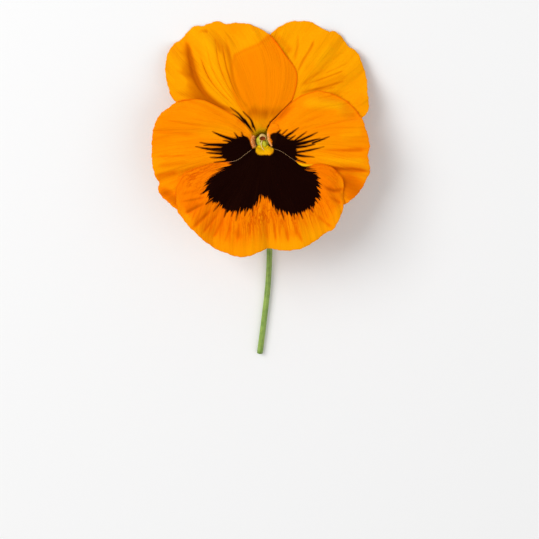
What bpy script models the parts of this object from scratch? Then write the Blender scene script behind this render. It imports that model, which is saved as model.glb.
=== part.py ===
"""One orange viola flower, picked with its own leafless stalk and lying face up.

The bloom's own frame has x to the right, y toward the two upper petals and z toward
the viewer, with its origin in the middle of the throat. The bloom leans over by TILT,
so that it rests on the tips of its upper petals and on the cut end of the stalk.
"""

import math

import bmesh
import bpy
import numpy as np
from mathutils import Vector

MM = 0.001

# The whole bloom
TILT = math.radians(15.0)
THROAT_HEIGHT = 17.1
CENTRE_X = -0.96
CENTRE_Y = -22.8
PETAL_THICKNESS = 0.66
SEPAL_THICKNESS = 0.6

# Throat funnel and the step from each petal to the one in front of it
CLAW_RADIUS = 3.0
CLAW_HALF_ANGLE = 31.0
CLAW_BACK = -8.2
LAYER_STEP = 1.25
FUNNEL_WALL = (0.72, 0.6)
FUNNEL_FLARE = (0.28, 2.2)

# How the petals bend back: share per squared mm, and how far from the throat it begins
UPPER_REFLEX = 0.0036
UPPER_REFLEX_FROM = 10
LOWER_REFLEX = 0.0034
LOWER_REFLEX_FROM = 18
SIDE_REFLEX = 0.0025
SIDE_REFLEX_FROM = 18
LEFT_TIP_DROP = 1.5
LEFT_TIP_RISE = (30, 44)
LEFT_TIP_WIDTH = 14

# The tips that rest on the table are laid flat
FLAT_TIP_BLEND = 0.6
PETAL_PRESS = 0.08
STALK_PRESS = 0.06

# Petal sheets: rows from claw to margin, as fractions of the way out
PETAL_ROWS = (0, 0.008, 0.02, 0.04, 0.07, 0.12, 0.19, 0.28, 0.38, 0.49, 0.6, 0.71, 0.82, 0.92, 1)
PETAL_COLUMNS = 22
LOWER_COLUMNS = 30

# Mouth of the gutter where the lower petal's blade begins: half width, height and depth
MOUTH_HALF_WIDTH = 2.7
MOUTH_Y = -2.75
MOUTH_DEPTH = 0.5
MOUTH_REACH = math.radians(100.0)
LOWER_FUNNEL_SHARE = 0.45
THROAT_GROOVE = 1.5
GROOVE_HALF_WIDTH = 2.4
GROOVE_LENGTH = 5
GROOVE_FROM = 4

# Receptacle: its disc in the funnel and the flange that carries the sepals
DISC_RADIUS = 2.38
DISC_FRONT = -7.85
DISC_BEVEL = 0.3
DISC_EDGE = 0.2
FLANGE_STEP = 0.05
FLANGE_RADIUS = 3.25
FLANGE_FRONT = -8.52
FLANGE_BACK = -9.1
NECK_TAPER = [(0, 0, FLANGE_BACK - 0.5, 1.9), (0, 0.1, FLANGE_BACK - 1.1, 1.1)]
SPUR_NOTCH_RADIUS = 2.03
SPUR_NOTCH_Y = -4.45
SPUR_NOTCH_OVERRUN = 1.5

# Stalk end, and its two bracteoles: the point between them, half their spacing, how far a
# tip stands from its foot, and the radius at foot, middle and tip
STALK_END_Y = -88.0
BRACTEOLE_PLACE = (0.5, -13.0, 2.0)
BRACTEOLE_SPREAD = (0.9, -1.5)
BRACTEOLE_LEAN = (1.7, 3.4, 0.9)
BRACTEOLE_RADII = (0.45, 0.55, 0.18)

# Pistil: the ovary, the style and the stigma, as y, z and radius, and the stigma's mouth
OVARY_RADIUS = 1.12
STYLE_RADIUS = 0.36
STIGMA_RADIUS = 1.3
PISTIL_PATH = [(0, -7.5, 0.6), (0, -7.0, 0.95), (0, -6.0, OVARY_RADIUS), (0, -5.0, OVARY_RADIUS - 0.05),
               (0, -4.2, 0.75), (0, -3.6, STYLE_RADIUS + 0.1), (0.15, -2.8, STYLE_RADIUS),
               (0.5, -1.9, STYLE_RADIUS), (0.9, -1.2, 0.65), (1.2, -0.7, 1.1), (1.4, -0.1, STIGMA_RADIUS),
               (1.5, 0.5, 1.1), (1.55, 0.95, 0.5)]
MOUTH_PATH = [(0.35, 1.6, 0.8), (0.9, 0.0, 0.6)]

# Anthers
ANTHER_RING_RADIUS = 1.8
ANTHER_THICKNESS = 0.5
ANTHER_BACK = -7.5
ANTHER_FRONT = -3.2
ANTHER_TIP = 0.5
ANTHER_COUNT = 5
ANTHER_BULGE = 0.14
ANTHER_TAPER = 0.25
ANTHER_TAPER_FROM = 0.6
ANTHER_ROWS = 4
ANTHER_COLUMNS = 30

# Petal outlines in the face of the bloom, in mm: side_a runs from the claw out to the
# anticlockwise corner, top from that corner to the other one, side_b back from the claw
# to the clockwise corner. layer counts forward from the lateral petals.
UPPER_LEFT = {
    "name": "upper_petal_left", "claw": 126.0, "layer": -1,
    "side_a": [(-3.8, 1.9), (-5.4, 3.6), (-9, 6), (-15, 8.5), (-22, 10.5), (-29, 13), (-33, 15.5), (-35, 18)],
    "top": [(-35, 18), (-36.6, 24.5), (-36.6, 30), (-35.5, 34), (-33.4, 37), (-31, 38.8), (-28, 42),
            (-25.5, 43.6), (-22.5, 43.7), (-17.6, 46), (-14, 45.1), (-9.5, 45.2), (-5.3, 44.3),
            (-2, 43), (2.2, 40.5), (5, 37.5), (8, 33)],
    "side_b": [(-0.25, 4.2), (0.3, 5.3), (3.2, 6.6), (6.4, 8.9), (9.2, 12.2), (10.9, 15.6), (12.1, 19),
               (12.8, 23), (12.6, 26), (11.2, 29), (8, 33)],
}
UPPER_RIGHT = {
    "name": "upper_petal_right", "claw": 54.0, "layer": -2,
    "side_a": [(0.25, 4.2), (-0.1, 5.5), (-2.2, 7.7), (-6.2, 10.5), (-9.5, 14.5), (-11.4, 19.5),
               (-11.8, 25), (-11.6, 29), (-10.8, 32.4)],
    "top": [(-10.8, 32.4), (-6.5, 34.7), (-1.5, 36.8), (2.2, 40.1), (7, 44.2), (11.5, 45.9), (15.8, 46.1),
            (19.1, 45.2), (21.6, 43), (24.8, 41.5), (26.6, 41.6), (29.6, 39.6), (31.8, 36.3), (34.6, 34.5),
            (36.4, 32), (37.5, 28.8), (38.9, 24.3), (39.3, 18), (39.8, 12.5), (38.4, 9.9)],
    "side_b": [(3.85, 1.75), (5.6, 3.2), (10, 5), (16, 6.5), (24, 7.2), (31, 7.6), (36, 8.5), (38.4, 9.9)],
}
LATERAL_RIGHT = {
    "name": "lateral_petal_right", "claw": 342.0, "layer": 0,
    "side_a": [(3.9, 1.3), (4.0, 2.4), (3.3, 3.8), (2.6, 5.3), (3.1, 7.0), (5.1, 8.9), (8.8, 12.8),
               (14.2, 17), (20.6, 19.1)],
    "top": [(20.6, 19.1), (26.3, 17.7), (32.3, 14.4), (36.6, 9.3), (38, 5.8), (39.7, 0.3), (39.9, -2.5),
            (39.3, -5.2), (39.6, -8), (40.1, -11.2), (38.7, -14.5), (36.6, -18.4), (33.4, -21.8),
            (30, -24), (26, -25), (22, -24.5)],
    "side_b": [(3.3, -2.35), (5.5, -3.8), (7.5, -6.5), (10, -11), (14, -17), (18, -22), (22, -24.5)],
}
LATERAL_LEFT = {
    "name": "lateral_petal_left", "claw": 198.0, "layer": 0,
    "side_a": [(-3.3, -2.35), (-5.5, -3.8), (-7.5, -6.5), (-10, -11), (-14.5, -17.5), (-20, -23.5),
               (-25, -26.5)],
    "top": [(-25, -26.5), (-29, -27), (-32.2, -25.8), (-36, -22.6), (-38.3, -20.4), (-39.4, -18.2),
            (-39.1, -15.5), (-40.3, -13.5), (-41.1, -10.8), (-41.7, -7.2), (-41.8, -3.3), (-41.7, 0.7),
            (-41.1, 4.6), (-39.9, 7.8), (-38.3, 10.3), (-35.2, 12.7), (-32.2, 14.8), (-29.2, 15.5)],
    "side_b": [(-3.8, 1.5), (-4.7, 3.2), (-7.9, 7), (-10.7, 9.4), (-14.7, 11.7), (-19, 13.9), (-22.2, 15.3),
               (-25.7, 15.8), (-29.2, 15.5)],
}
LOWER = {
    "name": "lower_petal", "claw": 270.0, "layer": 1,
    "side_a": [(3.9, -3.0), (6.6, -3.9), (10.5, -6.5), (13.7, -8.6), (16.5, -9.2), (20, -8.8), (23.1, -9),
               (25.9, -10), (28.3, -12.3), (29.8, -14.3), (30.4, -16.7)],
    "top": [(30.4, -16.7), (29.9, -19.5), (30.3, -23.6), (28.9, -28.5), (27.3, -31.7), (25.7, -33.5),
            (23.6, -34.4), (20.4, -36.8), (17.7, -38.7), (14, -40.4), (10.6, -41), (7.5, -41), (4.4, -40.7),
            (2, -40.1), (-1.2, -41.6), (-4.9, -43), (-7.9, -43.6), (-10.7, -43.1), (-14.2, -41.9),
            (-17.4, -40.6), (-21.4, -38), (-24.5, -35.2), (-27.3, -32.5), (-30, -29.3), (-32.2, -25.8),
            (-32.8, -20.6)],
    "side_b": [(-3.9, -3.0), (-6.6, -5.0), (-10.3, -7.5), (-16.6, -8.2), (-22.2, -9.4), (-26.5, -10.8),
               (-29.7, -12.5), (-31, -14.7), (-32.6, -17.5), (-32.8, -20.6)],
}

# Folds that run out from the throat: place across the petal (-1 to 1), half width,
# height in mm at the margin, and how far out the fold begins
FOLDS = {
    "upper_petal_left": [(-0.35, 0.13, -1.9, 0.05), (-0.08, 0.12, 1.6, 0.1), (0.2, 0.09, -1.2, 0.3)],
    "upper_petal_right": [(-0.25, 0.12, -1.0, 0.3), (0.05, 0.13, 1.3, 0.25), (0.3, 0.1, -1.2, 0.3),
                          (0.62, 0.11, -1.7, 0.15), (0.8, 0.09, 1.2, 0.3)],
    "lateral_petal_right": [(-0.2, 0.2, 1.2, 0.3), (0.19, 0.1, 1.7, 0.35), (0.36, 0.09, -1.7, 0.3)],
    "lateral_petal_left": [(-0.32, 0.1, -1.6, 0.35), (-0.12, 0.11, 1.3, 0.3), (0.2, 0.14, -1.0, 0.3),
                           (0.48, 0.14, 1.2, 0.3)],
    "lower_petal": [(-0.72, 0.08, 1.5, 0.4), (-0.35, 0.09, 1.1, 0.45), (-0.08, 0.08, -1.1, 0.5),
                    (0.16, 0.1, 1.3, 0.45), (0.42, 0.08, -1.3, 0.4), (0.62, 0.09, 1.3, 0.35)],
}
FOLD_FADE = 4.0
SHORTEST_EDGE = 0.04

# Spur and gutter of the lower petal from its closed end: centre y, z, half width,
# half depth and how far round the section goes, in degrees each side
GUTTER = [
    (-4.6, -12.4, 0.75, 0.75, 180), (-4.6, -11.7, 1.2, 1.2, 180), (-4.5, -10.4, 1.37, 1.37, 180),
    (-4.42, -9.0, 1.38, 1.38, 180), (-4.4, -7.6, 1.38, 1.36, 180), (-4.0, -6.0, 1.45, 1.15, 140),
    (-3.35, -4.6, 1.6, 0.9, 115), (-2.8, -3.4, 1.75, 0.65, 95),
]
SPUR_END = (0, -4.6, -12.7)

# Sepals: direction in degrees; the path from the auricle behind to the tip, as radius
# and z, with the half width there; how far the edges curl up, as a share of that width
SEPALS = {"sepal_top": 90, "sepal_right": 30, "sepal_left": 150,
          "sepal_lower_left": 220, "sepal_lower_right": 320}
SEPAL_PATH = [(5.3, -12.4, 0.5), (5.0, -11.6, 1.4), (4.5, -10.4, 1.6), (4.1, -9.2, 1.35), (4.05, -8.4, 1.3),
              (4.7, -7.5, 1.5), (6.4, -6.6, 2.1), (9.0, -5.9, 2.6), (12.0, -5.6, 2.3), (15.0, -5.6, 1.3),
              (17.6, -5.9, 0.3)]
SEPAL_CUP = 0.12
SEPAL_ROWS = 10
SEPAL_COLUMNS = 4

# Stalk: x, y, z and radius in the resting place, from the neck behind the receptacle
STALK_PATH = [(0, -1.9, 6.6, 0.88), (0, -1.6, 5.1, 0.96), (0.1, -2.7, 3.4, 1.05), (0.2, -5.0, 2.3, 1.1),
              (0.4, -9.0, 2.0, 1.1), (0.8, -16, 1.9, 1.1), (1.8, -30, 1.9, 1.1), (2.4, -45, 1.8, 1.1),
              (1.8, -60, 1.6, 1.12), (0.2, -75, 1.35, 1.15), (-1.4, STALK_END_Y, 1.15, 1.17)]


def smooth_step(low, high, value):
    t = np.clip((value - low) / (high - low), 0.0, 1.0)
    return t * t * (3.0 - 2.0 * t)


def curve_through(points, pieces=10):
    """A Catmull-Rom curve through the points, as a dense list of points."""
    knots = np.array(points, dtype=float)
    ends = np.vstack([2 * knots[0] - knots[1], knots, 2 * knots[-1] - knots[-2]])
    dense = []
    for i in range(1, len(ends) - 2):
        before, start, stop, after = ends[i - 1:i + 3]
        for t in np.arange(pieces) / pieces:
            dense.append(0.5 * (2 * start + (stop - before) * t
                                + (2 * before - 5 * start + 4 * stop - after) * t * t
                                + (3 * start - before - 3 * stop + after) * t ** 3))
    dense.append(knots[-1])
    return np.array(dense)


def point_along(line, fraction):
    """Points of a polyline at fractions of its length."""
    steps = np.linalg.norm(np.diff(line, axis=0), axis=1)
    length = np.concatenate([[0.0], np.cumsum(steps)])
    place = np.clip(fraction, 0.0, 1.0) * length[-1]
    return np.stack([np.interp(place, length, line[:, k]) for k in range(line.shape[1])], axis=-1)


def claw_line(petal, u):
    """The claw's end row: an arc round the throat, or the mouth of the gutter on the lower petal."""
    if petal["name"] == "lower_petal":
        angle = u * MOUTH_REACH
        return np.stack([-MOUTH_HALF_WIDTH * np.sin(angle) / math.sin(MOUTH_REACH),
                         MOUTH_Y - MOUTH_DEPTH * np.cos(angle)], axis=-1)
    angle = np.radians(petal["claw"] - u * CLAW_HALF_ANGLE)
    return CLAW_RADIUS * np.stack([np.cos(angle), np.sin(angle)], axis=-1)


def petal_edges(petal):
    """The petal's two sides and its top margin as dense lines, all read from side a to side b."""
    claw_a, claw_b = claw_line(petal, np.array([-1.0, 1.0]))
    side_a = curve_through([claw_a] + petal["side_a"])
    side_b = curve_through([claw_b] + petal["side_b"])
    return side_a, curve_through(petal["top"]), side_b


def outline(petal):
    side_a, top, side_b = petal_edges(petal)
    return np.vstack([side_a[::3], top[::4], side_b[::-3]])


def face_place(petal, u, v):
    """Where the sheet's point u (-1 to 1 across), v (0 to 1 outward) lies in the face, in mm."""
    side_a, top, side_b = petal_edges(petal)
    across = (u + 1.0) / 2.0
    outward = v[:, None]
    along_a = point_along(side_a, v)
    along_b = point_along(side_b, v)
    along_top = point_along(top, across)
    claw = claw_line(petal, u)
    across = across[:, None]
    corners = ((1 - across) * ((1 - outward) * side_a[0] + outward * side_a[-1])
               + across * ((1 - outward) * side_b[0] + outward * side_b[-1]))
    return ((1 - across) * along_a + across * along_b
            + (1 - outward) * claw + outward * along_top - corners)


def distance_outside(points, polygon):
    """Distance from each point to the polygon, zero inside it."""
    start = polygon
    step = np.roll(polygon, -1, axis=0) - start
    offset = points[:, None, :] - start[None, :, :]
    share = np.clip((offset * step).sum(-1) / np.maximum((step * step).sum(-1), 1e-9), 0, 1)
    near = np.linalg.norm(offset - share[..., None] * step, axis=-1).min(axis=1)
    above = start[None, :, 1] > points[:, None, 1]
    above_next = np.roll(polygon, -1, axis=0)[None, :, 1] > points[:, None, 1]
    cross_x = start[None, :, 0] + (points[:, None, 1] - start[None, :, 1]) * step[None, :, 0] / np.where(
        np.abs(step[None, :, 1]) < 1e-9, 1e-9, step[None, :, 1])
    crossings = ((above != above_next) & (points[:, None, 0] < cross_x)).sum(axis=1)
    return np.where(crossings % 2 == 1, 0.0, near)


def shared_depth(place):
    """The form that all petals share: the upper tips, the sides and the foot all bend back."""
    x, y = place[:, 0], place[:, 1]
    left_tip = LEFT_TIP_DROP * smooth_step(*LEFT_TIP_RISE, y) * smooth_step(0, LEFT_TIP_WIDTH, -x)
    return (-UPPER_REFLEX * np.maximum(0, y - UPPER_REFLEX_FROM) ** 2
            - LOWER_REFLEX * np.maximum(0, -y - LOWER_REFLEX_FROM) ** 2
            - SIDE_REFLEX * np.maximum(0, np.abs(x) - SIDE_REFLEX_FROM) ** 2 - left_tip)


def funnel_depth(petal, place):
    """Depth of the funnel from the claws at the back out to the petal's own layer."""
    beyond = np.linalg.norm(place, axis=1) - CLAW_RADIUS
    share = sum(part * np.exp(-beyond / reach) for part, reach in (FUNNEL_WALL, FUNNEL_FLARE))
    if petal["name"] == "lower_petal":
        share = LOWER_FUNNEL_SHARE * share
    level = petal["layer"] * LAYER_STEP
    return level + (CLAW_BACK - level) * share


def fold_height(petal, u, v):
    height = np.zeros_like(u)
    for place, width, amount, begin in FOLDS[petal["name"]]:
        height += amount * np.exp(-((u - place) / width) ** 2) * smooth_step(begin, 1.0, v)
    return height


def petal_depth(petal, place, u, v, petals):
    """Depth of the sheet, with folds that fade where another petal lies in front or behind."""
    folds = fold_height(petal, u, v)
    raised = np.ones_like(u)
    sunk = np.ones_like(u)
    for other in petals:
        clear = smooth_step(0.0, FOLD_FADE, distance_outside(place, outline(other)))
        if other["layer"] > petal["layer"]:
            raised *= clear
        if other["layer"] < petal["layer"]:
            sunk *= clear
    depth = funnel_depth(petal, place) + shared_depth(place)
    depth += np.maximum(folds, 0) * raised + np.minimum(folds, 0) * sunk
    if petal["name"] == "lower_petal":
        across = np.exp(-(place[:, 0] / GROOVE_HALF_WIDTH) ** 2)
        along = np.exp(-np.maximum(0, -place[:, 1] - GROOVE_FROM) / GROOVE_LENGTH)
        depth -= THROAT_GROOVE * across * along
    return depth


def to_rest(points):
    """From the bloom's frame to the resting place, in mm, with upper tips laid flat on the table."""
    x, y, z = points[:, 0], points[:, 1], points[:, 2]
    turned = np.stack([x, y * math.cos(TILT) + z * math.sin(TILT),
                       z * math.cos(TILT) - y * math.sin(TILT) + THROAT_HEIGHT], axis=-1)
    lowest = PETAL_THICKNESS / 2
    above = turned[:, 2] - lowest
    blend = FLAT_TIP_BLEND
    soft = np.where(above > blend, above, np.where(above < -blend, 0.0, (above + blend) ** 2 / (4 * blend)))
    turned[:, 2] = lowest + soft
    return turned


def to_part(points):
    """From the resting place in mm to the part's own origin, in metres."""
    return (points - np.array([CENTRE_X, CENTRE_Y, 0.0])) * MM


def material(name, colour, roughness):
    made = bpy.data.materials.new(name)
    made.use_nodes = True
    shader = made.node_tree.nodes["Principled BSDF"]
    shader.inputs["Base Color"].default_value = (*colour, 1.0)
    shader.inputs["Roughness"].default_value = roughness
    shader.inputs["Metallic"].default_value = 0.0
    made.diffuse_color = (*colour, 1.0)
    return made


def add_object(name, data, look):
    made = bpy.data.objects.new(name, data)
    made.data.materials.append(look)
    flower.objects.link(made)
    return made


def sheet_mesh(name, columns, rows, positions):
    """A grid of columns by rows whose points come from positions(u, row), triangulated."""
    mesh = bpy.data.meshes.new(name)
    sheet = bmesh.new()
    bmesh.ops.create_grid(sheet, x_segments=columns, y_segments=rows, size=1.0)
    sheet.verts.ensure_lookup_table()
    u = np.array([vert.co.x for vert in sheet.verts])
    row = np.rint((np.array([vert.co.y for vert in sheet.verts]) + 1.0) / 2.0 * rows).astype(int)
    for vert, place in zip(sheet.verts, positions(u, row)):
        vert.co = Vector([float(value) for value in place])
    bmesh.ops.remove_doubles(sheet, verts=sheet.verts, dist=1e-6)
    bmesh.ops.triangulate(sheet, faces=sheet.faces)
    for face in sheet.faces:
        face.smooth = True
    sheet.to_mesh(mesh)
    sheet.free()
    return mesh


def thicken(made, thickness):
    solid = made.modifiers.new("thickness", "SOLIDIFY")
    solid.thickness = thickness * MM
    solid.offset = 0.0
    solid.use_even_offset = False
    split = made.modifiers.new("triangles", "TRIANGULATE")
    split.keep_custom_normals = False


def evaluated_mesh(made):
    """A new mesh of the object with its modifiers applied."""
    graph = bpy.context.evaluated_depsgraph_get()
    return bpy.data.meshes.new_from_object(made.evaluated_get(graph))


def press_flat(made, depth):
    """Lays the lowest points of the object on the plane z = 0."""
    bpy.context.view_layer.update()
    mesh = evaluated_mesh(made)
    made.modifiers.clear()
    made.data = mesh
    for vert in mesh.vertices:
        if vert.co.z < depth * MM:
            vert.co.z = 0.0


def build_petal(petal, petals, look):
    """An upper or side petal: one sheet from its claw to its margin, thickened."""
    rows = np.array(PETAL_ROWS)

    def positions(u, row):
        v = rows[row]
        place = face_place(petal, u, v)
        depth = petal_depth(petal, place, u, v, petals)
        return to_part(to_rest(np.column_stack([place, depth])))

    mesh = sheet_mesh(petal["name"], PETAL_COLUMNS, len(PETAL_ROWS) - 1, positions)
    made = add_object(petal["name"], mesh, look)
    thicken(made, PETAL_THICKNESS)
    return made


def build_lower_petal(petal, petals, look):
    """The lower petal with its hollow spur: closed rings that open into a gutter and then the blade."""
    blade_rows = np.array(PETAL_ROWS[3:]) - PETAL_ROWS[3]
    blade_rows = blade_rows / blade_rows[-1]
    first_blade = len(GUTTER) + 1

    def positions(u, row):
        v = blade_rows[np.clip(row - first_blade, 0, len(blade_rows) - 1)]
        place = face_place(petal, u, v)
        depth = petal_depth(petal, place, u, v, petals)
        points = np.column_stack([place, depth])
        for i, (y, z, half_width, half_depth, reach) in enumerate(GUTTER):
            chosen = row == i + 1
            angle = u[chosen] * math.radians(reach)
            points[chosen] = np.column_stack([-half_width * np.sin(angle), y - half_depth * np.cos(angle),
                                              np.full(chosen.sum(), z)])
        points[row == 0] = SPUR_END
        return to_part(to_rest(points))

    mesh = sheet_mesh(petal["name"], LOWER_COLUMNS, first_blade + len(blade_rows) - 1, positions)
    made = add_object(petal["name"], mesh, look)
    thicken(made, PETAL_THICKNESS)
    return made


def build_sepal(name, direction, look):
    """One sepal: an auricle behind its foot and a pointed blade that lies behind the petals."""
    path = curve_through(SEPAL_PATH, pieces=4)
    angle = math.radians(direction)
    out = np.array([math.cos(angle), math.sin(angle)])
    side = np.array([-out[1], out[0]])

    def positions(u, row):
        radius, depth, half_width = point_along(path, row / SEPAL_ROWS).T
        cupped = SEPAL_CUP * half_width * u * u
        place = radius[:, None] * out + (u * half_width)[:, None] * side
        return to_part(to_rest(np.column_stack([place, depth + cupped])))

    made = add_object(name, sheet_mesh(name, SEPAL_COLUMNS, SEPAL_ROWS, positions), look)
    thicken(made, SEPAL_THICKNESS)
    return made


def round_rod(name, points, look, resolution=3):
    """A rod of changing thickness through points given as x, y, z and radius in mm, as a mesh."""
    curve = bpy.data.curves.new(name, "CURVE")
    curve.dimensions = "3D"
    curve.bevel_depth = MM
    curve.bevel_resolution = resolution
    curve.use_fill_caps = True
    spline = curve.splines.new("POLY")
    spline.points.add(len(points) - 1)
    for target, (x, y, z, radius) in zip(spline.points, points):
        target.co = (x, y, z, 1.0)
        target.radius = radius
    guide = bpy.data.objects.new(name + "_path", curve)
    flower.objects.link(guide)
    bpy.context.view_layer.update()
    mesh = evaluated_mesh(guide)
    bpy.data.objects.remove(guide)
    rod = bmesh.new()
    rod.from_mesh(mesh)
    bmesh.ops.remove_doubles(rod, verts=rod.verts, dist=1e-6)
    bmesh.ops.recalc_face_normals(rod, faces=rod.faces)
    for face in rod.faces:
        face.smooth = True
    rod.to_mesh(mesh)
    rod.free()
    return add_object(name, mesh, look)


def join_with(made, other, operation):
    """Joins another closed object to this one, or cuts it with that, and keeps the result."""
    boolean = made.modifiers.new("join", "BOOLEAN")
    boolean.operation = operation
    boolean.object = other
    boolean.solver = "EXACT"
    bpy.context.view_layer.update()
    mesh = evaluated_mesh(made)
    made.modifiers.clear()
    clean = bmesh.new()
    clean.from_mesh(mesh)
    bmesh.ops.triangulate(clean, faces=clean.faces)
    bmesh.ops.dissolve_degenerate(clean, dist=SHORTEST_EDGE * MM, edges=clean.edges)
    bmesh.ops.triangulate(clean, faces=clean.faces)
    clean.to_mesh(mesh)
    clean.free()
    made.data = mesh


def placed(points):
    """Points of the bloom's frame, x, y, z and radius, moved to the part's frame."""
    rows = np.array(points, dtype=float)
    return np.column_stack([to_part(to_rest(rows[:, :3])), rows[:, 3]])


def put_in_cutters(made):
    flower.objects.unlink(made)
    cutters.objects.link(made)
    made.hide_render = True
    made.display_type = "WIRE"


def build_stalk(look):
    """The receptacle, the bent neck and the cut stalk in one piece, with two small bracteoles."""
    receptacle = placed([(0, 0, DISC_FRONT, DISC_RADIUS - DISC_BEVEL),
                         (0, 0, DISC_FRONT - DISC_EDGE, DISC_RADIUS),
                         (0, 0, FLANGE_FRONT + FLANGE_STEP, DISC_RADIUS), (0, 0, FLANGE_FRONT, FLANGE_RADIUS),
                         (0, 0, FLANGE_BACK, FLANGE_RADIUS)] + NECK_TAPER)
    path = curve_through(STALK_PATH, pieces=3)
    stalk = np.column_stack([to_part(path[:, :3]), path[:, 3]])
    made = round_rod("stem", np.vstack([receptacle, stalk]), look)
    notch_ends = [(0, SPUR_NOTCH_Y, FLANGE_FRONT + SPUR_NOTCH_OVERRUN, SPUR_NOTCH_RADIUS),
                  (0, SPUR_NOTCH_Y, FLANGE_BACK - SPUR_NOTCH_OVERRUN, SPUR_NOTCH_RADIUS)]
    notch = round_rod("spur_notch", placed(notch_ends), look)
    join_with(made, notch, "DIFFERENCE")
    put_in_cutters(notch)
    for side in (1, -1):
        foot = np.array(BRACTEOLE_PLACE) + side * np.array([*BRACTEOLE_SPREAD, 0.0])
        tip = foot + np.array(BRACTEOLE_LEAN) * (side, 1, 1)
        line = to_part(np.array([foot, (foot + tip) / 2, tip]))
        scale = round_rod("bracteole", np.column_stack([line, BRACTEOLE_RADII]), look, resolution=1)
        join_with(made, scale, "UNION")
        bpy.data.objects.remove(scale)
    return made


def build_pistil(look):
    """Ovary, style and the round stigma, whose mouth faces the viewer and a little down."""
    made = round_rod("pistil", placed([(0, *point) for point in PISTIL_PATH]), look)
    mouth = round_rod("stigma_mouth", placed([(0, *point) for point in MOUTH_PATH]), look, resolution=2)
    join_with(made, mouth, "DIFFERENCE")
    put_in_cutters(mouth)
    return made


def build_anthers(look):
    """Five anthers held together edge to edge, a sleeve round the ovary with five tips."""
    def positions(u, row):
        angle = np.pi * (u + 1.0)
        lobe = np.cos(ANTHER_COUNT * angle)
        share = row / ANTHER_ROWS
        front = ANTHER_FRONT + ANTHER_TIP * lobe
        depth = ANTHER_BACK + (front - ANTHER_BACK) * share
        radius = (ANTHER_RING_RADIUS + ANTHER_BULGE * lobe
                  - ANTHER_TAPER * smooth_step(ANTHER_TAPER_FROM, 1.0, share))
        return to_part(to_rest(np.column_stack([radius * np.sin(angle), radius * np.cos(angle), depth])))

    made = add_object("stamens", sheet_mesh("stamens", ANTHER_COLUMNS, ANTHER_ROWS, positions), look)
    thicken(made, ANTHER_THICKNESS)
    return made


for old in list(bpy.data.objects):
    bpy.data.objects.remove(old)

flower = bpy.data.collections.new("viola_flower")
cutters = bpy.data.collections.new("cutters")
bpy.context.scene.collection.children.link(flower)
bpy.context.scene.collection.children.link(cutters)
cutters.hide_render = True

orange = material("petal_orange", (1.0, 0.36, 0.0), 0.6)
golden = material("petal_golden", (1.0, 0.43, 0.0), 0.6)
green = material("sepal_green", (0.16, 0.33, 0.07), 0.6)
pale_green = material("stalk_green", (0.28, 0.45, 0.1), 0.55)
cream = material("pistil_cream", (0.75, 0.6, 0.25), 0.5)
anther_yellow = material("anther_yellow", (0.85, 0.55, 0.12), 0.6)

all_petals = [UPPER_RIGHT, UPPER_LEFT, LATERAL_RIGHT, LATERAL_LEFT, LOWER]
for upper in (UPPER_LEFT, UPPER_RIGHT):
    press_flat(build_petal(upper, all_petals, golden), PETAL_PRESS)
for lateral in (LATERAL_LEFT, LATERAL_RIGHT):
    build_petal(lateral, all_petals, orange)
build_lower_petal(LOWER, all_petals, orange)
for sepal_name, sepal_direction in SEPALS.items():
    build_sepal(sepal_name, sepal_direction, green)
press_flat(build_stalk(pale_green), STALK_PRESS)
build_pistil(cream)
build_anthers(anther_yellow)
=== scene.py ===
import math

import bpy
import numpy as np
from mathutils import Matrix, Vector


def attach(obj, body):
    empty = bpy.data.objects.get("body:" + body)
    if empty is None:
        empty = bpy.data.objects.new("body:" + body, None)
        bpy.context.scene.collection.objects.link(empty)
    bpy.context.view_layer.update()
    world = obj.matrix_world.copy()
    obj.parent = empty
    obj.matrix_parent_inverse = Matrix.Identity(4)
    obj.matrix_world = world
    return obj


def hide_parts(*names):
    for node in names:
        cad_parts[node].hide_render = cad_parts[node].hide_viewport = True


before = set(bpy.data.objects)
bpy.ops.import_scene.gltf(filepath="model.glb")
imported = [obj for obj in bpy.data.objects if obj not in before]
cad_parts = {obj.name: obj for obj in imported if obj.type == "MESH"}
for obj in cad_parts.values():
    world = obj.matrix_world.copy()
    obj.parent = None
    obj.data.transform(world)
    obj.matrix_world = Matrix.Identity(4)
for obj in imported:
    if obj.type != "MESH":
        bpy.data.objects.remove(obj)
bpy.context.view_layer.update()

# The bloom's own frame, in mm: x right, y toward the upper petals, z toward the viewer.
# It lies on the floor leaning over by TILT, as the solids do.
MM = 0.001
TILT = math.radians(15.0)
THROAT_HEIGHT = 17.1
CENTRE_X = -0.96
CENTRE_Y = -22.8

# Throat funnel, and the step from each petal to the one in front of it
CLAW_RADIUS = 3.0
CLAW_HALF_ANGLE = 32.5
CLAW_BACK = -8.2
LAYER_STEP = 1.2
FUNNEL_WALL = (0.72, 0.6)
FUNNEL_FLARE = (0.28, 2.2)

# How the petals bend back: share per squared mm, and how far from the throat it begins
UPPER_REFLEX = 0.0036
UPPER_REFLEX_FROM = 10
LOWER_REFLEX = 0.0034
LOWER_REFLEX_FROM = 18
SIDE_REFLEX = 0.0025
SIDE_REFLEX_FROM = 18
LEFT_TIP_DROP = 1.5
LEFT_TIP_RISE = (30, 44)
LEFT_TIP_WIDTH = 14
FLAT_TIP_BLEND = 0.6
REST_HEIGHT = 0.33

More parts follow.
